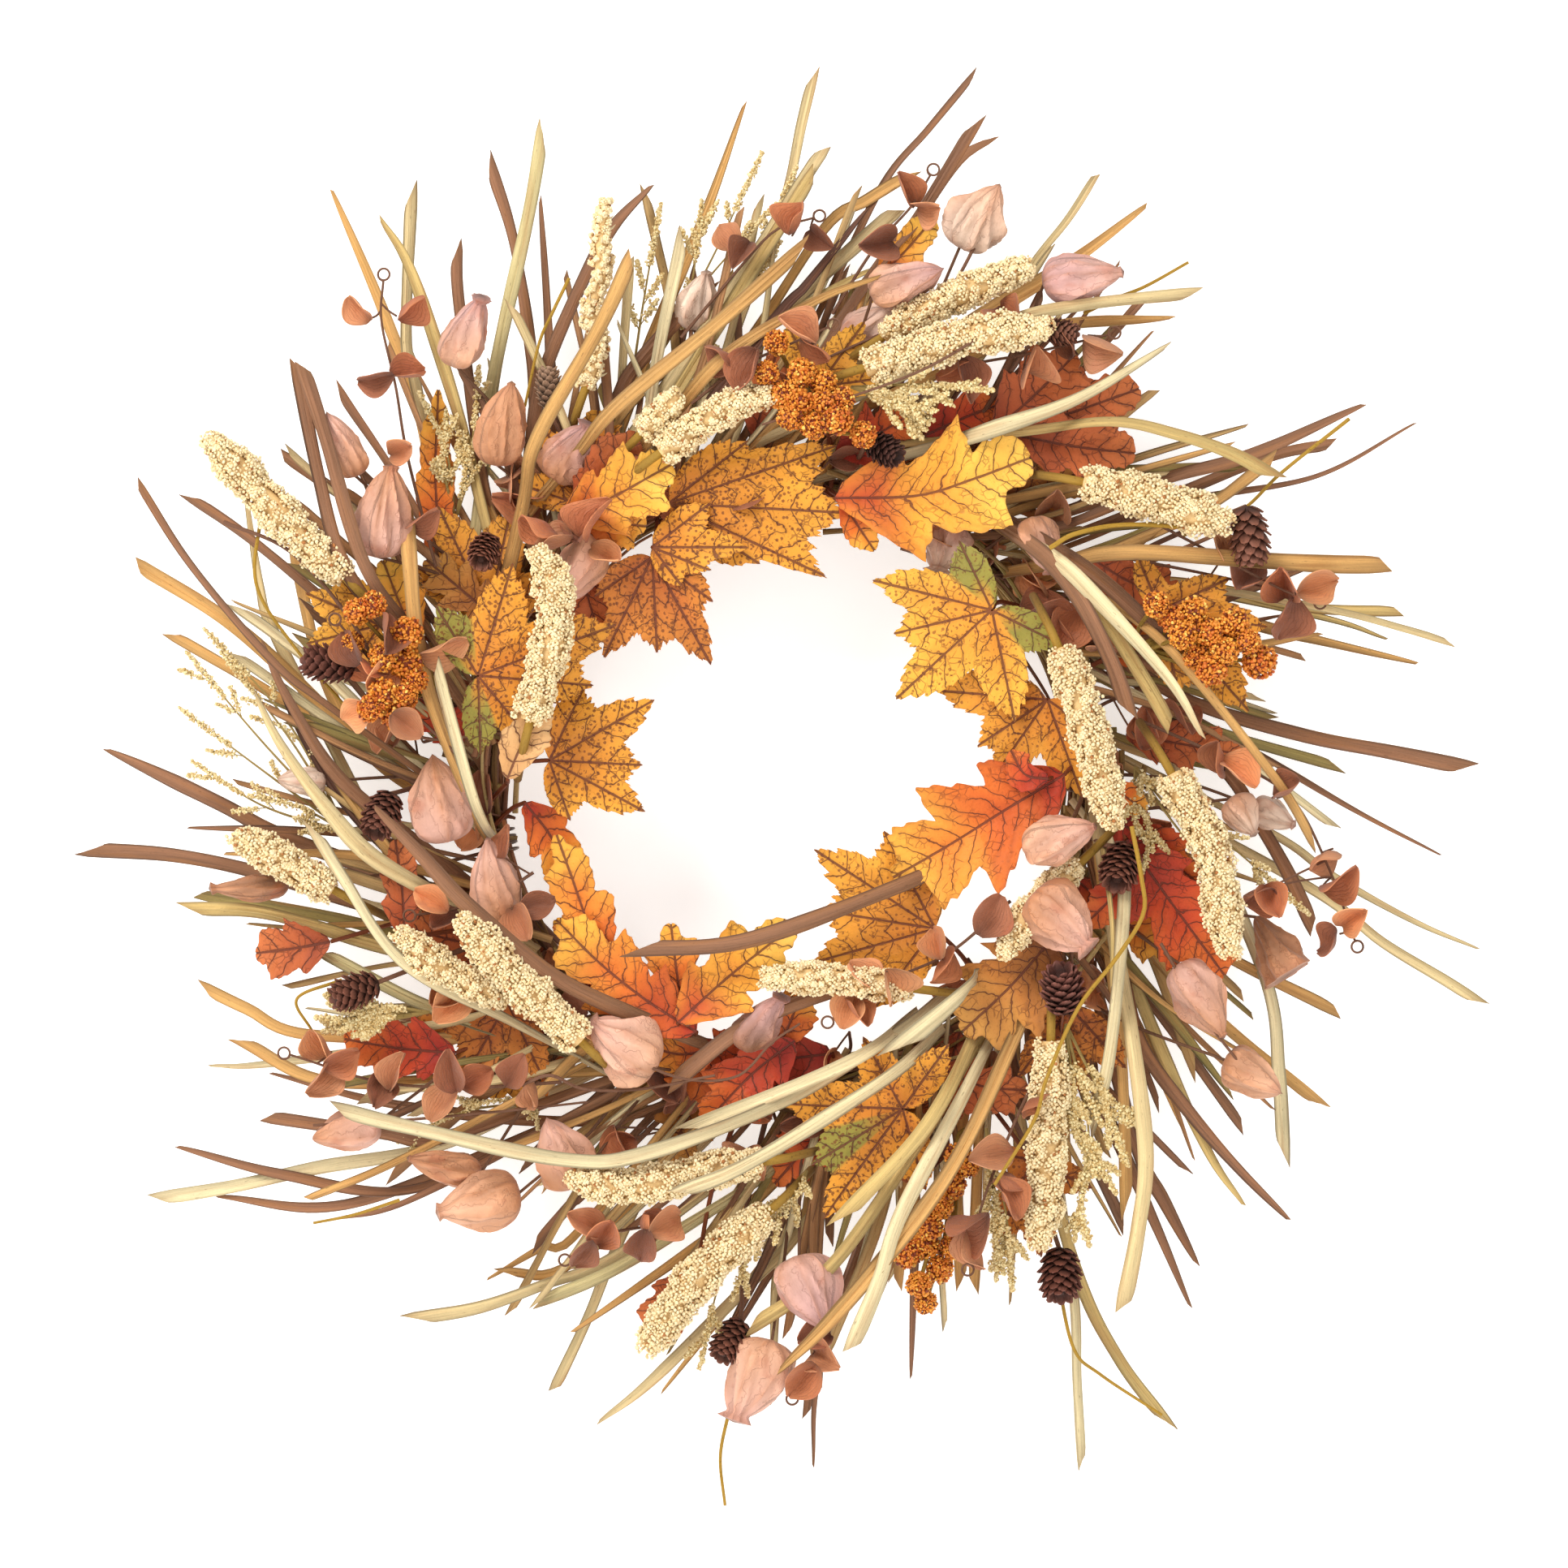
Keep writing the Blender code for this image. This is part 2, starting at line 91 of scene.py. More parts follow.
class Shape:
    """Gathers the parts of one piece, then makes its mesh."""

    def __init__(self):
        self.points, self.quads, self.tris, self.tints, self.uvs = [], [], [], [], []
        self.count = 0

    def add(self, points, quads=(), tris=(), tint=(0.5, 0.5, 0.5), uv=None):
        n = len(points)
        self.points.append(np.asarray(points, float))
        tint = np.asarray(tint, float)
        self.tints.append(np.broadcast_to(tint, (n, 3)) if tint.ndim == 1 else tint)
        self.uvs.append(np.zeros((n, 2)) if uv is None else np.asarray(uv, float))
        if len(quads):
            self.quads.append(np.asarray(quads, int) + self.count)
        if len(tris):
            self.tris.append(np.asarray(tris, int) + self.count)
        self.count += n

    def centre(self):
        points = np.vstack(self.points)
        return (points.min(0) + points.max(0)) / 2

    def make(self, name, material, slot, body="wreath"):
        points = np.vstack(self.points) * 0.001 + ORIGIN
        quads = np.vstack(self.quads) if self.quads else np.zeros((0, 4), int)
        tris = np.vstack(self.tris) if self.tris else np.zeros((0, 3), int)
        loops = np.concatenate([quads.ravel(), tris.ravel()])
        starts = np.concatenate(
            [np.arange(len(quads)) * 4, len(quads) * 4 + np.arange(len(tris)) * 3]
        )
        mesh = bpy.data.meshes.new(name)
        mesh.vertices.add(len(points))
        mesh.vertices.foreach_set("co", points.astype(np.float32).ravel())
        mesh.loops.add(len(loops))
        mesh.loops.foreach_set("vertex_index", loops.astype(np.int32))
        mesh.polygons.add(len(starts))
        mesh.polygons.foreach_set("loop_start", starts.astype(np.int32))
        mesh.polygons.foreach_set("use_smooth", np.ones(len(starts), bool))
        mesh.update(calc_edges=True)
        uv = np.vstack(self.uvs)[loops]
        mesh.uv_layers.new(name="UVMap").uv.foreach_set("vector", uv.astype(np.float32).ravel())
        tint = np.hstack([np.vstack(self.tints), np.ones((len(points), 1))])
        layer = mesh.color_attributes.new(name="tint", type="FLOAT_COLOR", domain="POINT")
        layer.data.foreach_set("color", tint.astype(np.float32).ravel())
        mesh.set_sharp_from_angle(angle=math.radians(SHARP_DEGREES))
        mesh.materials.append(material)
        piece = bpy.data.objects.new(name, mesh)
        bpy.context.scene.collection.objects.link(piece)
        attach(piece, body)
        return piece


def at(x, z, depth):
    """A point in the mm frame: x right, y into the door, z up."""
    return np.array([x, -depth, z], float)


def smooth_path(points, count):
    """count evenly spaced points on a smooth curve through the given ones."""
    p = np.asarray(points, float)
    if len(p) == 2:
        t = np.linspace(0, 1, count)[:, None]
        return p[0] * (1 - t) + p[1] * t
    q = np.vstack([2 * p[0] - p[1], p, 2 * p[-1] - p[-2]])
    t = np.linspace(0, 1, 24, endpoint=False)[:, None]
    runs = []
    for a, b, c, d in zip(q, q[1:], q[2:], q[3:]):
        cubic = (3 * b - a - 3 * c + d) * t**3
        runs.append(0.5 * (2 * b + (c - a) * t + (2 * a - 5 * b + 4 * c - d) * t**2 + cubic))
    dense = np.vstack([*runs, p[-1:]])
    gone = np.r_[0, np.cumsum(np.linalg.norm(np.diff(dense, axis=0), axis=1))]
    at_s = np.linspace(0, gone[-1], count)
    return np.stack([np.interp(at_s, gone, dense[:, k]) for k in range(3)], 1)


def unit(v):
    """v, or each row of v, at length 1."""
    return v / np.maximum(np.linalg.norm(v, axis=-1, keepdims=True), 1e-9)


def frames(path, roll=0.0):
    """Along, side and outward directions at each point; outward faces the viewer, then turns by roll."""
    along = unit(np.gradient(path, axis=0))
    front = np.array([0.0, -1.0, 0.0])
    out = front - along * (along @ front)[:, None]
    weak = np.linalg.norm(out, axis=1) < 0.2
    out[weak] += np.cross(along[weak], [0.0, 0.0, 1.0])
    out = unit(out)
    side = np.cross(along, out)
    c, s = np.cos(roll), np.sin(roll)
    c, s = np.broadcast_to(c, len(path))[:, None], np.broadcast_to(s, len(path))[:, None]
    return along, side * c + out * s, out * c - side * s


def wrapped_quads(rows, sides):
    """The faces of a round skin: rows of points, each row closed on itself."""
    i, j = np.meshgrid(np.arange(rows - 1), np.arange(sides), indexing="ij")
    k = (j + 1) % sides
    corners = [i * sides + j, (i + 1) * sides + j, (i + 1) * sides + k, i * sides + k]
    return np.stack(corners, -1).reshape(-1, 4)


def cap_tris(rows, sides):
    """The fans that close such a skin, to two more points: its first end's, then its last end's."""
    j = np.arange(sides)
    k = (j + 1) % sides
    first, last = np.full(sides, rows * sides), np.full(sides, rows * sides + 1)
    end = (rows - 1) * sides
    return np.vstack([np.stack([j, k, first], 1), np.stack([end + k, end + j, last], 1)])


def tube(shape, path, radius, tint, sides=7):
    """A closed round stem along the path; radius and tint may change along it."""
    path = np.asarray(path, float)
    n = len(path)
    radius = np.broadcast_to(np.asarray(radius, float), n)
    _, side, out = frames(path)
    turn = np.arange(sides) * 2 * np.pi / sides
    ring = side[:, None] * np.cos(turn)[None, :, None] + out[:, None] * np.sin(turn)[None, :, None]
    body = (path[:, None] + ring * radius[:, None, None]).reshape(-1, 3)
    gone = np.r_[0, np.cumsum(np.linalg.norm(np.diff(path, axis=0), axis=1))]
    uv = np.stack([np.tile(turn * 2.0, n), np.repeat(gone, sides)], 1)
    tint = np.asarray(tint, float)
    tint = np.broadcast_to(tint, (n, 3)) if tint.ndim == 1 else tint
    shape.add(
        np.vstack([body, path[:1], path[-1:]]),
        wrapped_quads(n, sides),
        cap_tris(n, sides),
        np.vstack([np.repeat(tint, sides, 0), tint[:1], tint[-1:]]),
        np.vstack([uv, uv[:1], uv[-1:]]),
    )


def shell(shape, grid, thickness, tint, uv):
    """A thin closed sheet from a grid of points; its front faces along du x dv."""
    a, b = grid.shape[:2]
    normal = unit(np.cross(np.gradient(grid, axis=0), np.gradient(grid, axis=1)))
    half = normal * thickness / 2
    points = np.vstack([(grid + half).reshape(-1, 3), (grid - half).reshape(-1, 3)])
    i, j = np.meshgrid(np.arange(a - 1), np.arange(b - 1), indexing="ij")
    n = a * b
    q = np.stack([i * b + j, (i + 1) * b + j, (i + 1) * b + j + 1, i * b + j + 1], -1).reshape(-1, 4)
    rim = np.r_[
        np.arange(b),
        np.arange(1, a) * b + b - 1,
        (a - 1) * b + np.arange(b - 2, -1, -1),
        np.arange(a - 2, 0, -1) * b,
    ]
    after = np.roll(rim, -1)
    edge = np.stack([rim, after, after + n, rim + n], 1)
    tints, uvs = np.tile(tint.reshape(-1, 3), (2, 1)), np.tile(uv.reshape(-1, 2), (2, 1))
    shape.add(points, np.vstack([q, q[:, ::-1] + n, edge]), (), tints, uvs)


GOLDEN = (1 + 5**0.5) / 2
SIGNS = [(s, t) for s in (-1, 1) for t in (-1, 1)]
CORNERS = [[s, t * GOLDEN, 0] for s, t in SIGNS] + [[0, s, t * GOLDEN] for s, t in SIGNS]
BALL = unit(np.array(CORNERS + [[s * GOLDEN, 0, t] for s, t in SIGNS], float))


def ball_faces():
    """The 20 faces between BALL's 12 corners, facing out."""
    faces = []
    for i, j, k in itertools.combinations(range(12), 3):
        p = BALL[[i, j, k]]
        if np.linalg.norm(p - p[[1, 2, 0]], axis=1).max() < 1.2:
            turned = np.dot(np.cross(p[1] - p[0], p[2] - p[0]), p.sum(0)) < 0
            faces.append((i, k, j) if turned else (i, j, k))
    return np.array(faces)


BALL_FACES = ball_faces()


def grains(shape, centres, radii, tints, stretch=0.25):
    """A small rough grain at each centre."""
    n = len(centres)
    turn = RANDOM.normal(size=(n, 4))
    turn /= np.linalg.norm(turn, axis=1, keepdims=True)
    w, x, y, z = turn.T
    rotate = np.stack(
        [
            np.stack([1 - 2 * (y * y + z * z), 2 * (x * y - z * w), 2 * (x * z + y * w)], -1),
            np.stack([2 * (x * y + z * w), 1 - 2 * (x * x + z * z), 2 * (y * z - x * w)], -1),
            np.stack([2 * (x * z - y * w), 2 * (y * z + x * w), 1 - 2 * (x * x + y * y)], -1),
        ],
        1,
    )
    sizes = 1 + RANDOM.uniform(-stretch, stretch, (n, 1, 3))
    points = np.einsum("nij,nkj->nki", rotate, BALL[None] * sizes)
    points = points * np.asarray(radii, float).reshape(-1, 1, 1) + np.asarray(centres)[:, None]
    faces = (BALL_FACES[None] + np.arange(n)[:, None, None] * 12).reshape(-1, 3)
    shape.add(points.reshape(-1, 3), (), faces, np.repeat(tints, 12, 0))


def even_directions(n):
    """n directions spread evenly over a ball."""
    k = np.arange(n) + 0.5
    up = 1 - 2 * k / n
    turn = np.pi * (1 + 5**0.5) * k
    flat = np.sqrt(1 - up * up)
    return np.stack([flat * np.cos(turn), flat * np.sin(turn), up], 1)


# ---------------------------------------------------------------- materials


class Paint:
    """A node material under construction. Its methods return output sockets."""

    def __init__(self, name, **settings):
        self.material = bpy.data.materials.new(name)
        self.material.use_nodes = True
        self.tree = self.material.node_tree
        self.shader = self.tree.nodes["Principled BSDF"]
        for socket, value in settings.items():
            self.shader.inputs[socket.replace("_", " ")].default_value = value

    def node(self, kind, **settings):
        node = self.tree.nodes.new(kind)
        for key, value in settings.items():
            setattr(node, key, value)
        return node

    def feed(self, socket, value):
        if isinstance(value, bpy.types.NodeSocket):
            self.tree.links.new(value, socket)
        else:
            socket.default_value = value

    def math(self, operation, *values):
        node = self.node("ShaderNodeMath", operation=operation)
        for socket, value in zip(node.inputs, values):
            self.feed(socket, value)
        return node.outputs[0]

    def step(self, value, low, high):
        """0 below low, 1 above high, smooth between; high may lie below low."""
        node = self.node("ShaderNodeMapRange", interpolation_type="SMOOTHSTEP")
        self.feed(node.inputs["Value"], value)
        flip = high < low
        self.feed(node.inputs["From Min"], min(low, high))
        self.feed(node.inputs["From Max"], max(low, high))
        self.feed(node.inputs["To Min"], 1.0 if flip else 0.0)
        self.feed(node.inputs["To Max"], 0.0 if flip else 1.0)
        return node.outputs[0]

    def scaled(self, value, low, high):
        """0..1 to low..high."""
        return self.math("MULTIPLY_ADD", value, high - low, low)

    def uv(self):
        split = self.node("ShaderNodeSeparateXYZ")
        self.tree.links.new(self.node("ShaderNodeUVMap", uv_map="UVMap").outputs[0], split.inputs[0])
        return split.outputs[0], split.outputs[1]

    def vector(self, x, y, z=0.0):
        node = self.node("ShaderNodeCombineXYZ")
        for socket, value in zip(node.inputs, (x, y, z)):
            self.feed(socket, value)
        return node.outputs[0]

    def place(self):
        """Object coordinates in millimetres."""
        node = self.node("ShaderNodeVectorMath", operation="SCALE")
        self.tree.links.new(self.node("ShaderNodeTexCoord").outputs["Object"], node.inputs[0])
        node.inputs["Scale"].default_value = 1000
        return node.outputs[0]

    def noise(self, vector, scale, detail=2.0, roughness=0.5):
        node = self.node("ShaderNodeTexNoise")
        self.feed(node.inputs["Vector"], vector)
        node.inputs["Scale"].default_value = scale
        node.inputs["Detail"].default_value = detail
        node.inputs["Roughness"].default_value = roughness
        return node.outputs["Fac"]

    def streaks(self, u, v, across, along, detail=2.0, roughness=0.5):
        """Noise drawn out along v."""
        drawn = self.vector(self.math("MULTIPLY", u, across), self.math("MULTIPLY", v, along))
        return self.noise(drawn, 1.0, detail, roughness)

    def cells(self, vector, scale, feature="F1"):
        node = self.node("ShaderNodeTexVoronoi", feature=feature)
        self.feed(node.inputs["Vector"], vector)
        node.inputs["Scale"].default_value = scale
        return node.outputs["Distance"]

    def tint(self):
        return self.node("ShaderNodeVertexColor", layer_name="tint").outputs["Color"]

    def mix(self, share, a, b):
        node = self.node("ShaderNodeMix", data_type="RGBA")
        self.feed(node.inputs["Factor"], share)
        self.feed(node.inputs[6], a)
        self.feed(node.inputs[7], b)
        return node.outputs[2]

    def stained(self, colour, mask, share, stain):
        """colour, with a share of the stain where the mask is 1."""
        return self.mix(self.math("MULTIPLY", mask, share), colour, rgba(stain))

    def lit(self, colour, amount):
        """colour made lighter or darker by amount, a number socket around 1."""
        node = self.node("ShaderNodeVectorMath", operation="SCALE")
        self.feed(node.inputs[0], colour)
        self.feed(node.inputs["Scale"], amount)
        return node.outputs[0]

    def bump(self, height, millimetres):
        node = self.node("ShaderNodeBump")
        node.inputs["Strength"].default_value = 1.0
        node.inputs["Distance"].default_value = millimetres / 1000
        self.feed(node.inputs["Height"], height)
        self.tree.links.new(node.outputs[0], self.shader.inputs["Normal"])

    def finish(self, colour, roughness=None):
        self.feed(self.shader.inputs["Base Color"], colour)
        if roughness is not None:
            self.feed(self.shader.inputs["Roughness"], roughness)
        return self.material


def straw_material(name):
    """Dried blades: fine lengthwise fibres, blotches and a few dark flecks."""
    p = Paint(name, Roughness=0.62, Specular_IOR_Level=0.35, Sheen_Weight=0.08)
    u, v = p.uv()
    fibre = p.streaks(u, v, 1.7, 0.035, 3.0, 0.65)
    broad = p.streaks(u, v, 0.35, 0.02)
    fleck = p.streaks(u, v, 1.2, 0.22)
    grain = p.noise(p.place(), 1.1, 2.0)
    colour = p.lit(p.tint(), p.scaled(fibre, 0.5, 1.36))
    colour = p.stained(colour, p.step(broad, 0.5, 0.72), 0.35, (164, 108, 58))
    colour = p.stained(colour, p.step(fleck, 0.66, 0.74), 0.5, (96, 62, 38))
    colour = p.lit(colour, p.scaled(grain, 0.93, 1.07))
    p.bump(p.math("ADD", fibre, p.math("MULTIPLY", grain, 0.25)), 0.45)
    return p.finish(colour, p.scaled(broad, 0.5, 0.75))


def leaf_material(name, speckle, veins, period):
    """Printed cloth leaves: forked dark veins beside each midrib, speckles, and a fine weave."""
    p = Paint(name, Roughness=0.58, Specular_IOR_Level=0.35, Sheen_Weight=0.1)
    s, t = p.uv()
    place = p.place()
    wobble = p.math("SUBTRACT", p.noise(place, 0.10, 2.0), 0.5)
    bend = p.math("SUBTRACT", p.noise(place, 0.32, 2.0), 0.5)
    line = p.math("MULTIPLY_ADD", p.math("POWER", t, 1.12), -0.62, s)
    line = p.math("ADD", line, p.math("MULTIPLY", wobble, 9.0))
    line = p.math("ADD", line, p.math("MULTIPLY", bend, 2.2))
    ribs = p.math("PINGPONG", line, period / 2)
    width = p.math("MULTIPLY_ADD", t, -0.010, 0.27)
    side = p.step(p.math("SUBTRACT", ribs, width), 0.16, -0.12)
    reach = p.math("MULTIPLY_ADD", p.noise(place, 0.13, 1.0), 22.0, 3.0)
    gone = p.step(p.math("SUBTRACT", t, reach), 1.6, 0.0)
    side = p.math("MULTIPLY", side, gone)
    middle = p.step(p.math("SUBTRACT", t, p.math("MULTIPLY", bend, 0.5)), 0.62, 0.34)
    net = p.vector(p.math("MULTIPLY", s, 0.24), p.math("MULTIPLY", t, 0.30), p.math("MULTIPLY", wobble, 1.5))
    net = p.cells(net, 1.0, "DISTANCE_TO_EDGE")
    net = p.math("MULTIPLY", p.step(net, 0.055, 0.02), p.step(p.noise(place, 0.16, 1.0), 0.44, 0.6))
    net = p.math("MULTIPLY", net, veins)
    vein = p.math("MAXIMUM", p.math("MAXIMUM", side, middle), net)
    dots = p.cells(place, 0.5)
    chosen = p.step(p.noise(place, 0.55, 1.0), 0.56 - 0.14 * speckle, 0.6 - 0.14 * speckle)
    dots = p.math("MULTIPLY", p.step(dots, 0.44, 0.28), chosen)
    dots = p.math("MULTIPLY", dots, min(1.0, 0.25 + speckle))
    patch = p.noise(place, 0.05, 2.0)
    weave = p.noise(place, 2.2, 1.0)
    colour = p.lit(p.tint(), p.scaled(patch, 0.74, 1.22))
    colour = p.lit(colour, p.scaled(weave, 0.94, 1.06))
    colour = p.stained(colour, dots, 0.8, (112, 56, 18))
    shade = p.step(p.math("MINIMUM", ribs, t), 2.4, 0.0)
    colour = p.lit(colour, p.math("MULTIPLY_ADD", shade, -0.14, 1.0))
    colour = p.stained(colour, vein, 0.85, (98, 42, 22))
    height = p.math("MULTIPLY_ADD", weave, 0.15, p.math("MULTIPLY", vein, -1.0))
    height = p.math("MULTIPLY_ADD", p.noise(place, 0.22, 2.0), 1.6, height)
    p.bump(height, 0.5)
    return p.finish(colour, p.scaled(patch, 0.5, 0.68))


def seed_material(name, roughness, gloss):
    """Small seeds: each has its own tint, with a fine mottle."""
    p = Paint(name, Roughness=roughness, Specular_IOR_Level=gloss)
    mottle = p.noise(p.place(), 1.6, 2.0)
    fine = p.noise(p.place(), 5.0, 1.0)
    p.bump(fine, 0.12)
    colour = p.lit(p.tint(), p.scaled(mottle, 0.82, 1.18))
    return p.finish(colour, p.scaled(fine, roughness - 0.1, roughness + 0.1))


def paper_material(name, ribs):
    """Dry papery skins: lengthwise veins in u, creases and blotches."""
    p = Paint(name, Roughness=0.55, Specular_IOR_Level=0.4, Sheen_Weight=0.12)
    u, v = p.uv()
    place = p.place()
    crease = p.noise(place, 0.16, 3.0, 0.6)
    wander = p.math("MULTIPLY", p.math("SUBTRACT", crease, 0.5), 2.4)
    line = p.math("PINGPONG", p.math("MULTIPLY_ADD", u, ribs, wander), 0.5)
    vein = p.step(line, 0.07, 0.0)
    streak = p.streaks(u, v, ribs * 3.0, 0.06, 3.0, 0.6)
    blotch = p.noise(place, 0.09, 2.0)
    colour = p.lit(p.tint(), p.scaled(streak, 0.88, 1.12))
    # Lighter on the creases' crests and darker in their hollows, from the same noise as the bump: painted shade.
    colour = p.lit(colour, p.scaled(crease, 0.84, 1.16))
    colour = p.stained(colour, p.step(blotch, 0.56, 0.74), 0.4, (176, 98, 66))
    colour = p.stained(colour, vein, 0.16, (150, 84, 58))
    height = p.math("ADD", crease, p.math("MULTIPLY", vein, 0.15))
    p.bump(p.math("ADD", p.math("MULTIPLY", streak, 0.3), height), 1.1)
    return p.finish(colour, p.scaled(crease, 0.45, 0.68))


def bark_material(name, roughness=0.7):
    """Stems, twigs and cone scales: long streaks and small dark marks."""
    p = Paint(name, Roughness=roughness, Specular_IOR_Level=0.3)
    u, v = p.uv()
    place = p.place()
    streak = p.streaks(u, v, 0.8, 0.07, 3.0, 0.6)
    mark = p.noise(place, 0.9, 2.0)
    colour = p.lit(p.tint(), p.scaled(streak, 0.62, 1.38))
    colour = p.stained(colour, p.step(mark, 0.6, 0.75), 0.5, (52, 32, 24))
    p.bump(p.math("ADD", streak, p.math("MULTIPLY", mark, 0.5)), 0.4)
    return p.finish(colour, p.scaled(mark, roughness - 0.12, roughness + 0.12))


def wire_material(name, colour):
    """Lacquered florist's wire, rubbed bright in places."""
    p = Paint(name, Metallic=0.55, Roughness=0.38)
    rub = p.noise(p.place(), 0.35, 3.0)
    fine = p.noise(p.place(), 3.0, 2.0)
    bright = tuple(min(255, c + 55) for c in colour)
    tone = p.mix(p.step(rub, 0.5, 0.75), rgba(colour), rgba(bright))
    p.bump(fine, 0.08)
    return p.finish(p.lit(tone, p.scaled(fine, 0.85, 1.15)), p.scaled(rub, 0.3, 0.55))


STRAW = straw_material("dried_blade")
MAPLE = leaf_material("maple_cloth", 0.6, 0.5, 9.0)
MAPLE_DARK = leaf_material("maple_cloth_speckled", 1.2, 0.6, 8.5)
OAK = leaf_material("oak_cloth", 0.0, 0.5, 7.5)
SEED = seed_material("seed_grains", 0.6, 0.35)
GOLD_SEED = seed_material("golden_seeds", 0.42, 0.55)
BERRY = seed_material("berry_granules", 0.45, 0.5)
PAPER = paper_material("lantern_paper", 9.0)
SHELL = paper_material("cup_leaf_skin", 14.0)
BARK = bark_material("stem_bark")
CONE = bark_material("cone_scale", 0.62)
WIRE = wire_material("hanger_wire", (70, 62, 58))
BINDING = wire_material("binding_wire_fine", (88, 62, 44))

CREAM, GOLD, BROWN, DARK = (218, 194, 142), (214, 164, 96), (146, 101, 71), (102, 64, 48)
OCHRE, OLIVE, PALE = (168, 130, 44), (154, 136, 76), (228, 210, 164)
STEM, TWIG, LEAF_STEM = (118, 88, 48), (116, 80, 60), (120, 60, 30)
# The second seed tone is a darker cream: painted shade for the spikes' core and their inward-facing grains.
SEED_TONE, SEED_SHADE, SEED_RUST = (248, 231, 188), (234, 198, 138), (176, 112, 60)


# ---------------------------------------------------------------- builders


def blade(shape, points, width, tone, seed):
    """A flat dried reed: folded along its middle, slightly twisted, cut slantwise at the tip.

    points run from the tip to the root.
    """
    rng = np.random.default_rng(seed)
    length = np.linalg.norm(np.diff(points, axis=0), axis=1).sum()
    n = max(16, int(length / 4))
    path = smooth_path(points, n)
    s = np.linspace(0, 1, n)
    sway = np.sin(s * rng.uniform(4, 8) + rng.uniform(0, 6)) * 0.28 + np.sin(s * rng.uniform(12, 20)) * 0.08
    roll = rng.uniform(-0.3, 0.3) + sway + (rng.uniform(-0.9, 0.9) if rng.random() < 0.25 else 0) * s
    along, side, out = frames(path, roll)
    taper = rng.uniform(3, 9) if rng.random() < 0.62 else rng.uniform(30, 85)
    least = 0.8 if taper < 10 else 0.2
    w = width * np.minimum(1, least + (1 - least) * (s * length / taper) ** 0.7)
    w = w * (1 + 0.05 * np.sin(s * length / rng.uniform(9, 16) + 1)) * (1 - 0.35 * s**3)
    across = np.array([-1, -0.92, -0.62, -0.3, 0, 0.34, 0.66, 0.93, 1.0])
    fold = rng.uniform(0.03, 0.17) * (1 if rng.random() < 0.6 else -1)
    ridge = 0.045 * np.cos(across * rng.uniform(6, 9) + rng.uniform(0, 6))
    slant = rng.choice([-1, 1]) * rng.uniform(0.5, 1.5) * np.exp(-s * length / 7)
    lift = -fold * np.abs(across - 0.1 * np.sin(seed)) + ridge
    front = (
        path[:, None]
        + side[:, None] * (across[None, :, None] * w[:, None, None] / 2)
        + out[:, None] * (lift[None, :, None] * w[:, None, None])
        + along[:, None] * (across[None, :, None] * (w * slant)[:, None, None])
    )
    m = len(across)
    tint = np.tile(linear(tone) * rng.uniform(0.9, 1.08), (n, m, 1))
    # Painted light and shade: one half of the folded blade is made lighter and the other darker, and both edges are
    # darkened as a painted shadow line.
    lean = 1 + 0.13 * np.sign(across) * (1 if rng.random() < 0.5 else -1)
    edge = np.where(np.abs(across) > 0.9, rng.choice([0.42, 0.52, 0.7]), 1.0)
    tint *= (lean * edge)[None, :, None]
    fade = (0.3 * s**2)[:, None, None]
    tint = tint * (1 - fade) + linear((146, 104, 60)) * fade
    tip = np.exp(-s * length / 5)[:, None, None] * 0.4
    tint = tint * (1 - tip) + linear((132, 92, 56)) * tip
    gone = np.broadcast_to((s * length + seed * 37)[:, None], (n, m))
    uv = np.stack([across[None, :] * w[:, None] / 2 + seed * 11.3, gone], -1)
    shell(shape, front.transpose(1, 0, 2), BLADE_THICKNESS, tint.transpose(1, 0, 2), uv.transpose(1, 0, 2))


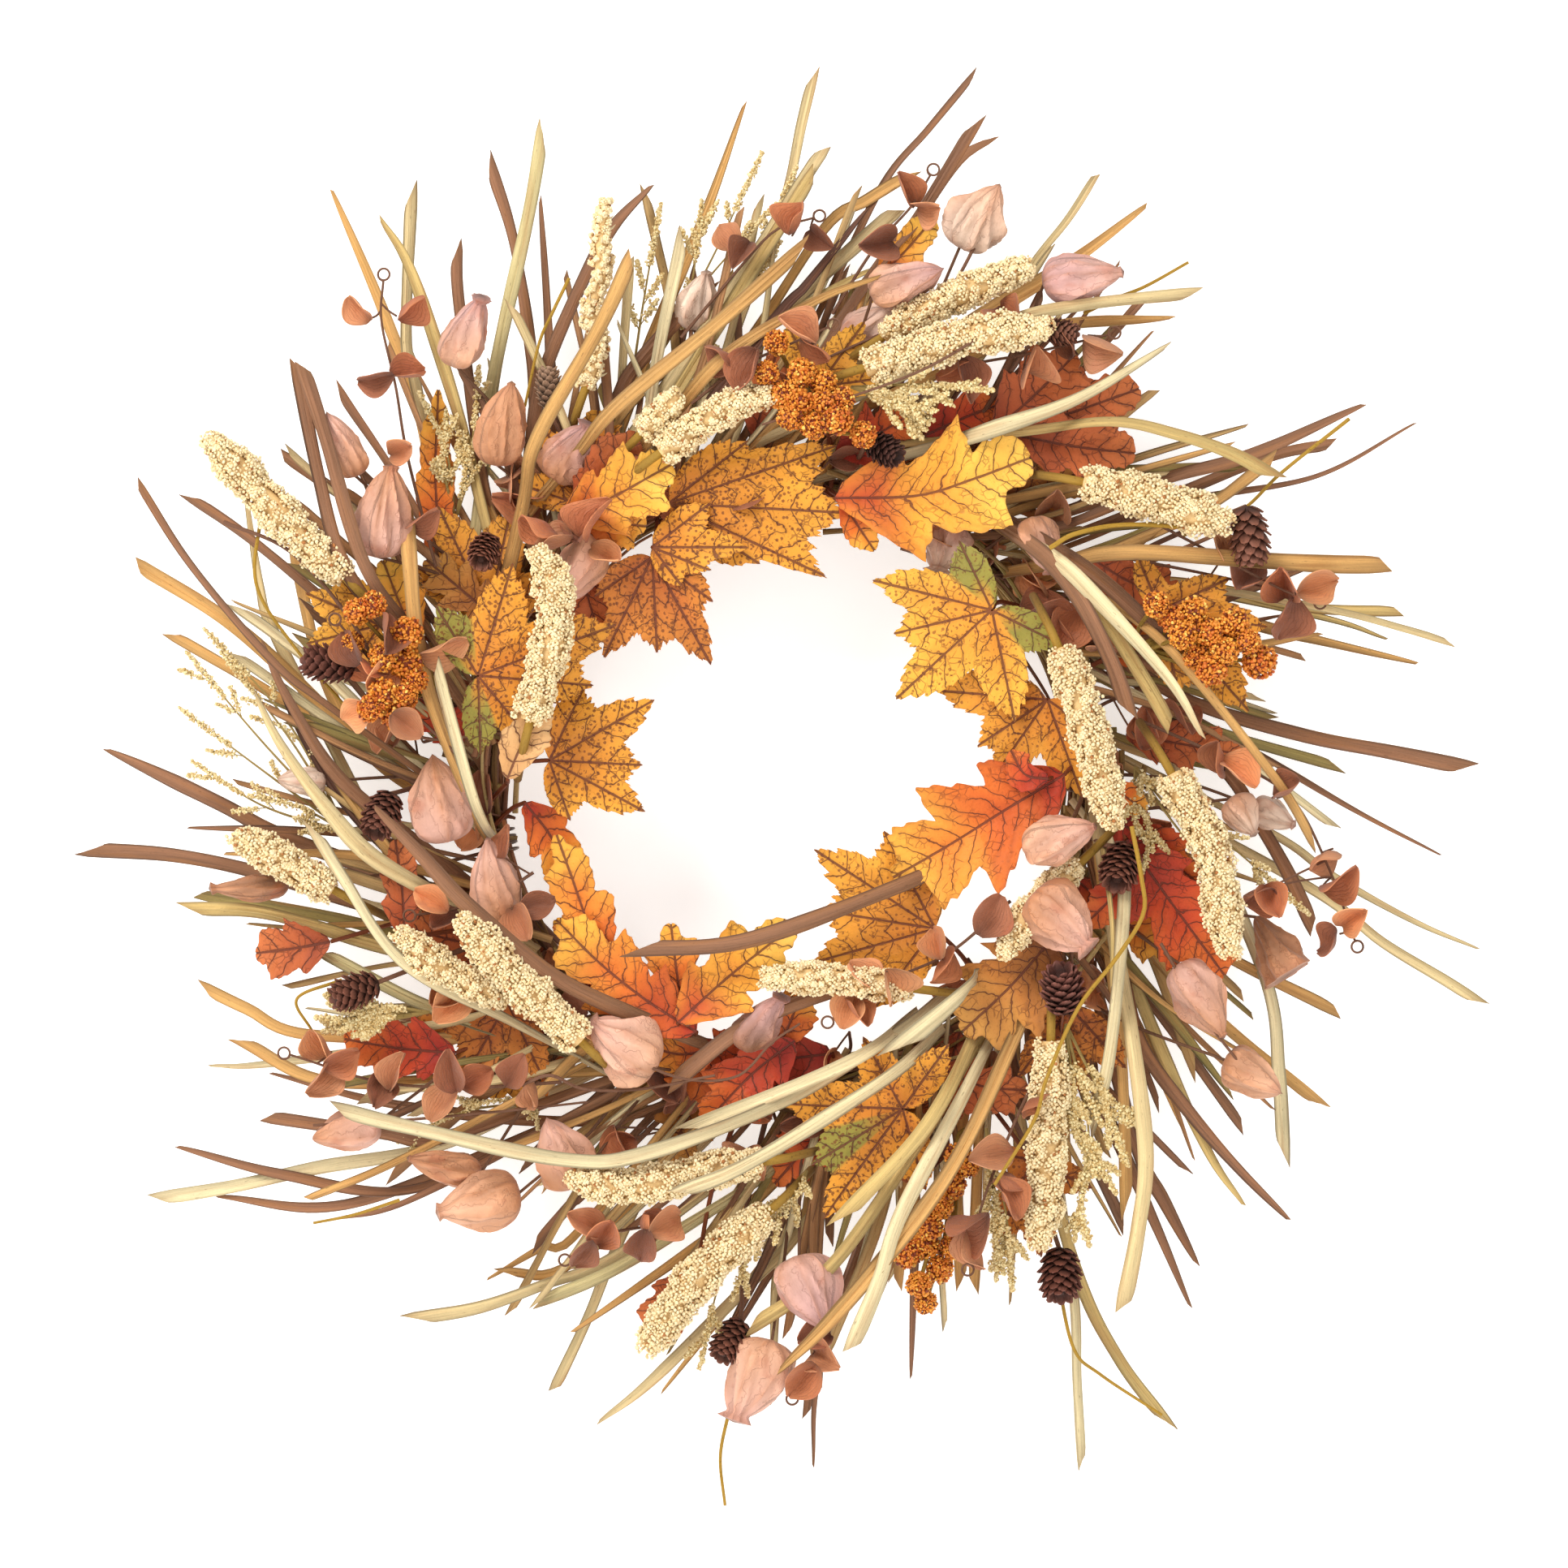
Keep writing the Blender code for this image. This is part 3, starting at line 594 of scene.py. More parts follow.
def spike(name, points, width):
    """A seed head: florets of tiny grains round a core, on a short ochre stem. points run tip to base."""
    shape, stem = Shape(), Shape()
    path = smooth_path(points, 60)
    length = np.linalg.norm(np.diff(path, axis=0), axis=1).sum()
    s = np.linspace(0, 1, 60)
    radius = width / 2 * np.minimum(1, (0.42 + 3.2 * s)) * (1 - 0.25 * np.clip(s - 0.8, 0, 1) * 4)
    radius = radius * (1 + 0.12 * np.sin(s * length / 4.2 + len(name)))
    # The core takes the darker seed tone, as painted shade seen between the grains.
    tube(shape, path, radius * 0.64, linear(SEED_SHADE), 12)
    along, side, out = frames(path)
    florets = int(length * width * 0.24)
    centres, radii, tints = [], [], []
    for n in range(florets):
        k = (n + RANDOM.uniform(0, 1)) / florets * 58.5 + 0.3
        i = int(k)
        turn = n * GOLDEN_TURN + RANDOM.uniform(-0.5, 0.5)
        ray = side[i] * math.cos(turn) + out[i] * math.sin(turn)
        r = radius[i] * RANDOM.uniform(0.66, 0.88)
        heart = path[i] + ray * r + along[i] * RANDOM.normal(0, 0.6)
        size = RANDOM.uniform(1.5, 2.6) * width / 16
        rays = even_directions(22)
        rays = rays[rays @ ray > -0.1]
        grown = size * (1 + 0.14 * RANDOM.normal(size=(len(rays), 1)))
        centres.append(heart + rays * grown)
        radii.append(RANDOM.uniform(0.58, 0.9, len(rays)))
        # Grains facing into the head get the darker seed tone and outward ones the pale tone: painted shade inside
        # each floret.
        outward_lit = np.clip((rays @ ray) * 0.7 + 0.4, 0, 1) * RANDOM.uniform(0.8, 1.05)
        tint = between(SEED_SHADE, SEED_TONE, np.clip(outward_lit + RANDOM.normal(0, 0.16, len(rays)), 0, 1))
        dark = RANDOM.random(len(rays)) < 0.025
        tint[dark] = linear(SEED_RUST)
        tints.append(tint)
    grains(shape, np.vstack(centres), np.concatenate(radii), np.vstack(tints))
    for _ in range(10):
        i = RANDOM.integers(2, 58)
        turn = RANDOM.uniform(0, 2 * np.pi)
        ray = side[i] * math.cos(turn) + out[i] * math.sin(turn)
        base = path[i] + ray * radius[i] * 0.8
        tuft = [base, base + ray * 1.8 - along[i] * 0.8, base + ray * 3.2 - along[i] * 2.4]
        tube(shape, tuft, [0.7, 0.5, 0.08], linear(SEED_TONE) * 0.9, 4)
    root = path[-1]
    way = unit(path[-1] - path[-6])
    foot = root + way * 26 + np.array([0, 18.0, 0])
    fade = between(OCHRE, STEM, np.linspace(0, 1, 14))
    tube(stem, smooth_path([root - way * 6, root + way * 10, foot], 14), 1.9, fade, 8)
    return shape, stem


def spray(shape, stems, base, tips, depth, size, dense):
    """Fine stems and side shoots, crusted with small golden seeds towards their tips."""
    bx, bz = base
    for x, z in tips:
        lean = RANDOM.uniform(-0.12, 0.12)
        mid = at((x + bx) / 2 + (bz - z) * lean, (z + bz) / 2 + (x - bx) * lean, depth + 2)
        path = smooth_path([at(x, z, depth + RANDOM.uniform(-2, 4)), mid, at(bx, bz, depth - 8)], 40)
        length = np.linalg.norm(np.diff(path, axis=0), axis=1).sum()
        tube(stems, path, np.linspace(0.28, 0.75, 40), linear((158, 134, 78)), 5)
        along, side, out = frames(path)
        crusted = max(10, int(40 * min(0.75, 30 / length)))
        columns = [path[:crusted]]
        for k in range(RANDOM.integers(2, 5)):
            i = RANDOM.integers(6, 28)
            way = side[i] * (-1) ** k * RANDOM.uniform(0.3, 0.7)
            way = way + out[i] * RANDOM.uniform(-0.2, 0.3) - along[i]
            shoot = path[i] + unit(way) * np.linspace(RANDOM.uniform(9, 17), 0, 14)[:, None]
            tube(stems, shoot, 0.24, linear((170, 146, 88)), 4)
            columns.append(shoot[:11])
        for column in columns:
            run = np.linalg.norm(column[-1] - column[0])
            count = int(run * 10 * dense)
            k = RANDOM.uniform(0, len(column) - 1.01, count)
            low = k.astype(int)
            centres = column[low] + (column[low + 1] - column[low]) * (k - low)[:, None]
            clump = 0.75 + 0.35 * np.sin(k * run / len(column) * 2.4)
            spread = 2.1 * size / 0.85 * clump * np.minimum(1, 0.4 + k / 4)
            away = unit(RANDOM.normal(0, 1, (count, 3))) * (spread * RANDOM.uniform(0.35, 1, count))[:, None]
            tints = between((198, 162, 94), (246, 230, 178), RANDOM.random(count))
            grains(shape, centres + away, RANDOM.uniform(0.5, 0.75, count) * size / 0.85, tints)


def berries(shape, stems, balls, depth, root):
    """Round heads crusted with orange granules, on short ochre stems."""
    for n, (x, z, r) in enumerate(balls):
        r = r * 1.08
        heart = at(x, z, depth + RANDOM.uniform(-5, 5))
        count = 330
        rays = even_directions(count)
        rays = unit(rays + RANDOM.normal(0, 0.05, rays.shape))
        reach = r * (0.86 + RANDOM.uniform(-0.14, 0.14, (count, 1)))
        ripeness_and_highlight = RANDOM.random(count)
        hue = RANDOM.uniform(-0.15, 0.2)
        tints = between((200, 92, 22), (246, 168, 58), np.clip(ripeness_and_highlight + hue, 0, 1))
        tints[ripeness_and_highlight < 0.12] = linear((118, 44, 16))
        # The granules' own colours run from deep to bright orange with a few dark ones; the palest few, at random,
        # are pale yellow as painted highlights.
        tints[ripeness_and_highlight > 0.93] = linear((250, 200, 96))
        grains(shape, heart + rays * reach, RANDOM.uniform(0.42, 0.72, count) * r / 5.3, tints, 0.4)
        grains(shape, heart[None], [r * 0.84], linear((150, 62, 18))[None], 0.05)
        foot = at(root[0], root[1], depth - 16)
        bent = (heart + foot) / 2 + np.array([RANDOM.uniform(-3, 3), 6, RANDOM.uniform(-3, 3)])
        tube(stems, smooth_path([heart, bent, foot], 12), 0.9, linear((142, 112, 44)), 6)


def curved_stem(shape, start, foot, radius, tone):
    """A pick's stem, from the pick to its foot in the ring, with a slight bend."""
    bent = (start + foot) / 2 + np.array([RANDOM.uniform(-1, 1), 0.6, RANDOM.uniform(-1, 1)]) * 6.0
    tube(shape, smooth_path([start, bent, foot], 16), np.linspace(radius, radius * 1.3, 16), linear(tone), 6)


def ring_point(x, z, shift):
    """The point on the ring's front nearest to x, z, moved round by shift degrees."""
    turn = math.atan2(z, x) + math.radians(shift)
    return at(RING_RADIUS * math.cos(turn), RING_RADIUS * math.sin(turn), RING_DEPTH + 6)


def axes(heading, pitch, spin):
    """A pick's axis and two directions across it, from its heading in the wreath's plane and pitch to the viewer."""
    a, b, c = math.radians(heading), math.radians(pitch), math.radians(spin)
    axis = np.array([math.cos(a) * math.cos(b), -math.sin(b), math.sin(a) * math.cos(b)])
    across = np.array([-math.sin(a), 0, math.cos(a)])
    out = np.cross(across, axis)
    out = out if out[1] < 0 else -out
    return axis, across * math.cos(c) + out * math.sin(c), out * math.cos(c) - across * math.sin(c)


def lantern(shape, stems, x, z, length, width, heading, depth, tone, tip_tone, seed, pitch, open_end):
    """A papery seed lantern: soft ribs, flattened sides and crumpled skin, drawn in at the tip or open."""
    rng = np.random.default_rng(seed)
    axis, across, out = axes(heading, pitch, rng.uniform(0, 70))
    rows, sides = 44, 60
    length, width = length * 1.1, width * 1.16
    v = np.linspace(0, 1, rows)
    turn = np.arange(sides) * 2 * np.pi / sides
    # Rounded at the stem, widest a third of the way, then drawn in to the tip.
    belly = np.sin(np.pi * v**0.72) ** 0.62 * (1 - 0.22 * v)
    if open_end:
        belly = np.sqrt(np.clip(v * 1.4, 0, 1)) * (0.7 + 0.3 * v)
    blunt = rng.uniform(-0.05, 0.5)
    belly = np.maximum(belly, blunt * v**6)
    ribs = rng.integers(3, 5)
    phase = rng.uniform(0, 6)
    twist = rng.uniform(-0.5, 0.5) * v[:, None]
    wave = np.cos(ribs * (turn[None] + twist) + phase)
    ridge = 0.12 * (1 - np.abs(wave) ** 0.5) * 2 - 0.06
    crumple = np.zeros((rows, sides))
    for k in range(9):
        a, b = rng.integers(1, 6), rng.uniform(1, 7)
        crease = np.abs(np.sin(a * turn[None] + b * v[:, None] + rng.uniform(0, 6)))
        crumple += crease * rng.uniform(0.035, 0.095)
    faces = rng.integers(4, 6)
    corner = turn[None] / (2 * np.pi) * faces + rng.uniform(0, 1) + rng.uniform(-0.4, 0.4) * v[:, None]
    corner = corner % 1 - 0.5
    facet = math.cos(math.pi / faces) / np.cos(corner * 2 * np.pi / faces)
    crumple += 0.8 * (1 - facet) * np.sin(np.pi * np.clip(v, 0.1, 0.95))[:, None]
    flat = 1 - 0.3 * np.cos(turn[None] - rng.uniform(0, 3)) ** 2
    r = width / 2 * belly[:, None] * (1 + ridge * np.sin(np.pi * v)[:, None] - crumple + 0.44) * flat
    start = at(x, z, depth) - axis * length / 2
    lean = across * (rng.uniform(-0.1, 0.1) * length) * (v**2)[:, None]
    lean = lean + out * rng.uniform(-0.05, 0.1) * length * (v**2)[:, None]
    spine = start + axis * (v * length)[:, None] + lean
    rays = across * np.cos(turn)[:, None] + out * np.sin(turn)[:, None]
    body = spine[:, None] + r[..., None] * rays[None]
    # How far each point stands out towards the viewer, used below for painted light on the front.
    lit = np.clip(-body[..., 1] - depth, -9, 9) / 9
    shade = np.clip(v[:, None] * 1.15 - 0.15 + 0.25 * np.sin(ribs * turn + phase)[None] * 0.4, 0, 1)
    tint = between(tone, tip_tone, np.broadcast_to(shade, (rows, sides)))
    edge = np.clip(np.abs(wave) ** 0.14, 0, 1)[..., None]
    tint = tint * edge + linear((192, 122, 74)) * (1 - edge)
    low = np.exp(-v * 9)[:, None, None]
    tint = tint * (1 - 0.6 * low) + linear((168, 104, 66)) * 0.6 * low
    dry = np.clip((v - 0.82) / 0.18, 0, 1)[:, None, None] * 0.45
    tint = tint * (1 - dry) + linear((150, 88, 60)) * dry
    # Painted light and shade: a little lighter on the side towards the viewer, and darker where the skin is drawn in
    # by its crumples and flat faces, as painted shade in the creases.
    tint = tint * ((1 + 0.05 * lit) * np.clip(1.24 - 0.8 * crumple, 0.45, 1.12))[..., None]
    uv = np.stack(np.broadcast_arrays(turn[None] / (2 * np.pi), v[:, None] * length), -1)
    ends = spine[:1] + axis * 0.2, spine[-1:] + axis * (0 if open_end else 1.2)
    points = np.vstack([body.reshape(-1, 3), *ends])
    quads, tris = wrapped_quads(rows, sides), cap_tris(rows, sides)
    # Turn the faces outward: their winding depends on which way out was flipped.
    if np.dot(np.cross(across, out), axis) > 0:
        quads, tris = quads[:, ::-1], tris[:, ::-1]
    tip_shade = 0.35 if open_end or blunt > 0.1 else 0.8
    tints = np.vstack([tint.reshape(-1, 3), tint[0, :1], tint[-1, :1] * tip_shade])
    shape.add(points, quads, tris, tints, np.vstack([uv.reshape(-1, 2), uv[0, :1], uv[-1, :1]]))
    foot = ring_point(start[0], start[2], rng.uniform(-6, 6))
    curved_stem(stems, start + axis * 0.6, foot, 0.65, (112, 78, 56))


def cup_leaf(shape, stems, x, z, heading, size, depth, tone, edge_tone, seed, cup, hub):
    """A small dried round leaf, cupped, with a wavy rim, on a short stalk to its hub."""
    rng = np.random.default_rng(seed)
    axis, across, out = axes(heading, rng.uniform(-45, 50), rng.uniform(-70, 70))
    rows, cols = 15, 15
    v = np.linspace(0, 1, rows)[:, None]
    u = np.linspace(-1, 1, cols)[None]
    length, width = size * rng.uniform(1.1, 1.5), size * rng.uniform(0.95, 1.3)
    half = width / 2 * np.sin(np.pi * (v * 0.93 + 0.035) ** rng.uniform(0.7, 1.0)) ** 0.78
    w = u * half
    lift = cup * (w**2 / width * 2.2) + rng.uniform(0.2, 0.9) * np.abs(w)
    lift = lift + rng.uniform(-0.2, 0.5) * length * (v - 0.4) ** 2 * 2
    lift = lift + np.sin(3.1 * v * rng.uniform(1, 2.4) + u * 2.2 + seed) * 1.1 * np.abs(u) * size / 12
    lift = lift + 0.35 * np.sin(9 * v + 6 * u * rng.uniform(0.6, 1) + seed) * size / 14
    start = at(x, z, depth) - axis * length * 0.5
    grid = start + axis * (v * length)[..., None] + across * w[..., None] + out * lift[..., None]
    share = np.clip(0.75 * np.abs(u) ** 2.2 + rng.uniform(-0.1, 0.5) + 0.2 * v, 0, 1)
    tint = between(tone, edge_tone, share)
    tint = tint * (1 - 0.45 * np.exp(-v * 5))[..., None] * rng.uniform(0.72, 1.1)
    uv = np.stack(np.broadcast_arrays((u * 0.5 + 0.5) * 0.9, v * length), -1)
    if np.dot(np.cross(axis, across), out) <= 0:
        grid, tint, uv = grid[:, ::-1], tint[:, ::-1], uv[:, ::-1]
    shell(shape, grid, CUP_THICKNESS, tint, uv)
    stalk = smooth_path([start + axis * 0.8, (start + hub) / 2 + np.array([0, 2, 0]), hub], 8)
    tube(stems, stalk, 0.5, linear(TWIG), 5)


def cone(shape, x, z, length, width, heading, depth, tone, seed, pitch):
    """A small pine cone: rounded woody scales in a spiral, open towards the tip."""
    rng = np.random.default_rng(seed)
    axis, across, out = axes(heading, pitch, 0)
    start = at(x, z, depth) - axis * length / 2
    s = np.linspace(0, 1, 14)
    core = start + axis * (s * length)[:, None]
    tube(shape, core, width * 0.30 * np.sin(np.pi * (s * 0.9 + 0.06)) ** 0.6, linear(tone) * 0.45, 10)
    dark, light = tuple(np.array(tone) * 0.7), tuple(np.minimum(255, np.array(tone) * 1.35 + 8))
    v = np.linspace(0, 1, 5)[:, None]
    u = np.linspace(-1, 1, 6)[None]
    count = 62
    for k in range(count):
        t = (k + 0.5) / count
        turn = k * GOLDEN_TURN
        ray = across * math.cos(turn) + out * math.sin(turn)
        cross = np.cross(axis, ray)
        swell = math.sin(math.pi * (0.08 + 0.84 * t)) ** 0.7
        reach = width / 2 * (0.35 + 0.7 * swell)
        tip_way = unit(ray + axis * (0.35 + 0.9 * t))
        base = start + axis * (t * length * 0.86) + ray * width * 0.12
        wide = (2.3 + swell) * width / 17 * np.sin(0.35 + v * 2.3) * (1 - 0.25 * v)
        outline = v * reach * np.sqrt(1.06 - 0.3 * u**2)
        curve = v**2 * 1.2 * width / 17 + 0.5 * u**2 * 0.6
        grid = base + tip_way * outline[..., None] + cross * (u * wide)[..., None]
        grid = grid + unit(axis - ray * 0.5) * curve[..., None]
        tint = between(dark, light, np.clip(v**3 + 0 * u + rng.uniform(-0.1, 0.2), 0, 1))
        uv = np.stack([u * wide + k, v * reach + 0 * u], -1)
        shell(shape, grid[:, ::-1], 0.7 * width / 17, tint[:, ::-1], uv[:, ::-1])


# A lobe's reach, as a share of its length, at these degrees from its midrib.
LOBE_DEGREES = np.array([0, 2.5, 5, 8, 11, 14, 17, 21, 26, 32, 40, 60])
LOBE_REACH = np.array([1, 0.93, 0.88, 0.86, 0.80, 0.75, 0.70, 0.62, 0.54, 0.46, 0.40, 0.36])


def maple(junction, tips, depth, tones, seed, olive, curl, tilt=(0.0, 0.0)):
    """A lobed leaf: a toothed lobe runs from the junction to each tip, folded along its rib."""
    shape = Shape()
    rng = np.random.default_rng(seed)
    j = np.array(junction, float)
    lobes = [(t[0] - j[0], t[1] - j[1]) for t in tips]
    centre = math.atan2(sum(p[1] for p in lobes), sum(p[0] for p in lobes))
    polar = []
    for k, (p, q) in enumerate(lobes):
        angle = (math.atan2(q, p) - centre + math.pi) % (2 * math.pi) - math.pi
        polar.append((angle, math.hypot(p, q), k))
    polar.sort()
    angles, reach, lobe_axis, olive_share = [], [], [], []
    count = 37
    fine = np.linspace(0, 1, count)
    for i, (a, length, k) in enumerate(polar):
        for direction in (-1, 1):
            other = i + direction
            last = not 0 <= other < len(polar)
            gap = 0.85 if last else abs(polar[other][0] - a) / 2
            degrees = np.degrees(fine * gap)
            r = np.interp(degrees, LOBE_DEGREES, LOBE_REACH) * length
            if last:
                r = r * (1 - 0.62 * np.clip((fine - 0.35) / 0.65, 0, 1) ** 1.5)
            else:
                r = r * (1 + ((length + polar[other][1]) / 2 / length - 1) * fine**2)
            inside = (fine > 0.03) & (fine < 0.93)
            teeth = 0.045 * length * (np.abs(((degrees / 4.4 + rng.uniform(0, 1)) % 1) - 0.5) * 2 - 0.5)
            r = r + (teeth + rng.normal(0, 0.008, count) * length) * inside
            order = np.arange(count if last else count - 1) if direction > 0 else np.arange(count - 1, 0, -1)
            angles += list(a + direction * fine[order] * gap)
            reach += list(r[order])
            lobe_axis += [a] * len(order)
            olive_share += [1.0 if k in olive else 0.0] * len(order)
    angles, reach, lobe_axis = np.array(angles), np.array(reach), np.array(lobe_axis)
    smooth_olive = np.convolve(np.pad(olive_share, 4, mode="edge"), np.ones(9) / 9, "valid")
    rings = 22
    f = (np.linspace(0.0, 1, rings) ** 0.85)[:, None]
    r = f * (reach[None] - 0.4) + 0.4
    p, q = r * np.cos(angles + centre)[None], r * np.sin(angles + centre)[None]
    t = np.abs(r * np.sin(angles - lobe_axis)[None])
    s = r * np.cos(angles - lobe_axis)[None]
    size = np.mean([x[1] for x in polar])
    h = 0.15 * t * (1 - 0.5 * f)
    h = h + curl * (r / size) ** 2.4 * size * 0.22
    h = h + 1.6 * np.sin(2.3 * angles[None] + rng.uniform(0, 6)) * (r / size) ** 2
    h = h + 1.1 * np.sin(r / 7 + 3 * angles[None] + rng.uniform(0, 6)) * f**2
    warp = rng.uniform(-0.3, 0.3) * size * 0.2
    h = h + warp * np.cos(angles[None] * 1.5 + rng.uniform(0, 6)) * (r / size) ** 2
    h = h + tilt[0] * p + tilt[1] * q
    grid = np.stack([j[0] + p, -(depth + h), j[1] + q], -1)
    warm, bright, dark = tones
    share = np.clip(f**1.6 * 0.95 + 0.1 * np.sin(angles * 4 + seed)[None], 0, 1)
    tint = between(warm, bright, share)
    rim = np.clip((f - 0.93) / 0.07, 0, 1)[..., None] * 0.35
    tint = tint * (1 - rim) + linear(dark) * rim
    mix = (smooth_olive[None] * np.clip(f * 2.2 - 0.15, 0, 1))[..., None]
    tint = tint * (1 - mix) + linear((146, 134, 52)) * mix
    shell(shape, grid, LEAF_THICKNESS, tint, np.stack([s, t], -1))
    return shape


def oak(points, seed, width, depth, tones, lobes, curl, plain=0.0, tilt=(0.0, 0.0)):
    """A long lobed leaf, coloured from its base to its tip. points run base to tip, along the midrib.

    plain is 0 for deep lobes and 1 for none.
    """
    shape = Shape()
    rng = np.random.default_rng(seed)
    rows = 112
    spine = smooth_path([at(x, z, 0) for x, z in points], rows)
    length = np.linalg.norm(np.diff(spine, axis=0), axis=1).sum()
    along = unit(np.gradient(spine, axis=0))
    across = np.stack([-along[:, 2], 0 * along[:, 0], along[:, 0]], 1)
    s = np.linspace(0, 1, rows)[:, None]
    u = np.linspace(-1, 1, 23)[None]
    sides = np.sign(u)
    env = np.sin(np.pi * (s * 0.96 + 0.035) ** 0.85) ** 0.68
    wave = s * lobes + 0.13 * sides + rng.uniform(0, 0.2)
    # Each lobe widens slowly towards the leaf's tip, comes to a point, and is cut back sharply.
    run = wave % 1
    lobing = 0.5 + 0.58 * np.where(run < 0.7, (run / 0.7) ** 0.8, (np.abs(1 - run) / 0.3) ** 1.1)
    lobing = lobing * (1 - plain) + plain
    teeth = 1 + 0.1 * (np.abs(((s * lobes * 4.6 + 0.3 * sides) % 1) - 0.5) * 2 - 0.5)
    teeth = teeth + 0.025 * np.sin(s * 61 + sides)
    half = width / 2 * env * lobing * teeth
    w = u * half
    forward = np.abs(w) * 0.5
    h = 0.22 * np.abs(w) + 1.4 * np.sin(s * rng.uniform(7, 11) + u * 1.7 + seed) * np.abs(u) * width / 50
    h = h + curl * (s**2) * length * 0.25 - 0.05 * curl * w**2 / width
    grid = spine[:, None] + along[:, None] * forward[..., None] + across[:, None] * w[..., None]
    h = h + tilt[0] * (grid[..., 0] - spine[0, 0]) + tilt[1] * (grid[..., 2] - spine[0, 2])
    grid[..., 1] = -(depth + h)
    low, mid, high = tones
    share = np.clip(s * 1.1 + 0.25 * np.abs(u) - 0.1 + 0.08 * np.sin(s * 19 + seed), 0, 1)
    tint = np.where((share < 0.5)[..., None], between(low, mid, share * 2), between(mid, high, share * 2 - 1))
    rim = (np.clip((np.abs(u) - 0.9) / 0.1, 0, 1) * 0.25)[..., None]
    tint = tint * (1 - rim) + linear(tuple(np.array(low) * 0.75)) * rim
    uv = np.stack([s * length + forward, np.abs(w)], -1)
    shell(shape, grid, LEAF_THICKNESS, tint, uv)
    return shape


def keep(name, shape, material, slot):
    """Makes a piece. slot, the kind of CAD node it can stand for, is not used."""
    piece = shape.make(name, material, slot)
    shape.centre() * 0.001 + ORIGIN


def box_middle(node):
    low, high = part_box(node)
    return (np.array(low) + np.array(high)) / 2


# ---------------------------------------------------------------- ring, binding and hanger


def round_ring(a, radius, depth):
    """Points round the ring's centre at the angles a."""
    return np.stack([radius * np.cos(a), -depth, radius * np.sin(a)], 1)


def ring_path(start, end, lift, phase, turns, count):
    """A stem in the ring's bundle: it winds slowly round the ring's own centre line."""
    a = np.radians(np.linspace(start, end, count))
    wind = phase + turns * (a - a[0])
    return round_ring(a, RING_RADIUS + lift * np.cos(wind), RING_DEPTH + lift * np.sin(wind))


def build_ring():
    """The ring's bound stems, and looser ones laid along it."""
    core, loose = Shape(), Shape()
    tones = [STEM, TWIG, OLIVE, (172, 142, 88), BROWN, (128, 98, 50), (196, 168, 112)]
    for k in range(34):
        start = RANDOM.uniform(0, 360)
        span = RANDOM.uniform(110, 220)
        lift = RANDOM.uniform(0.5, 5.4)
        path = ring_path(start, start + span, lift, RANDOM.uniform(0, 6), RANDOM.uniform(-1.6, 1.6), 64)
        thick = RANDOM.uniform(0.9, 1.6)
        tube(core, path, thick, linear(tones[k % 7]) * RANDOM.uniform(0.7, 1.1), 7)
    for k in range(46):
        start = RANDOM.uniform(0, 360)
        span = RANDOM.uniform(28, 75)
        a = np.radians(np.linspace(start, start + span, 26))
        out = RING_RADIUS + RANDOM.uniform(-13, 15) + np.linspace(0, RANDOM.uniform(-12, 26), 26)
        out = out + 2 * np.sin(a * 9 + k)
        path = round_ring(a, out, RANDOM.uniform(14, 42) + 4 * np.sin(a * 5 + k))
        tube(loose, path, np.linspace(0.6, 1.3, 26), linear(tones[(k * 3) % 7]) * RANDOM.uniform(0.7, 1.1), 6)
    return core, loose


def build_binding(node):
    """Wire wound round the ring where the CAD has its binding."""
    x, _, z = (box_middle(node) - ORIGIN) * 1000
    turn = math.atan2(z, x)
    shape = Shape()
    wraps = 4
    k = np.linspace(0, wraps * 2 * np.pi, wraps * 26)
    a = turn + (k / k[-1] - 0.5) * math.radians(5.5)
    path = round_ring(a, RING_RADIUS + 8.2 * np.cos(k), RING_DEPTH + 8.2 * np.sin(k))
    tube(shape, path, 0.55, linear((96, 70, 50)), 6)
    return shape


# ---------------------------------------------------------------- blades
# tone, width in mm, layer (k back, m middle, f front, t top), then places from the tip to the root

TONES = {"c": CREAM, "g": GOLD, "b": BROWN, "d": DARK, "o": OLIVE, "w": PALE}
TONES |= {"h": (208, 178, 112), "l": (200, 184, 132)}
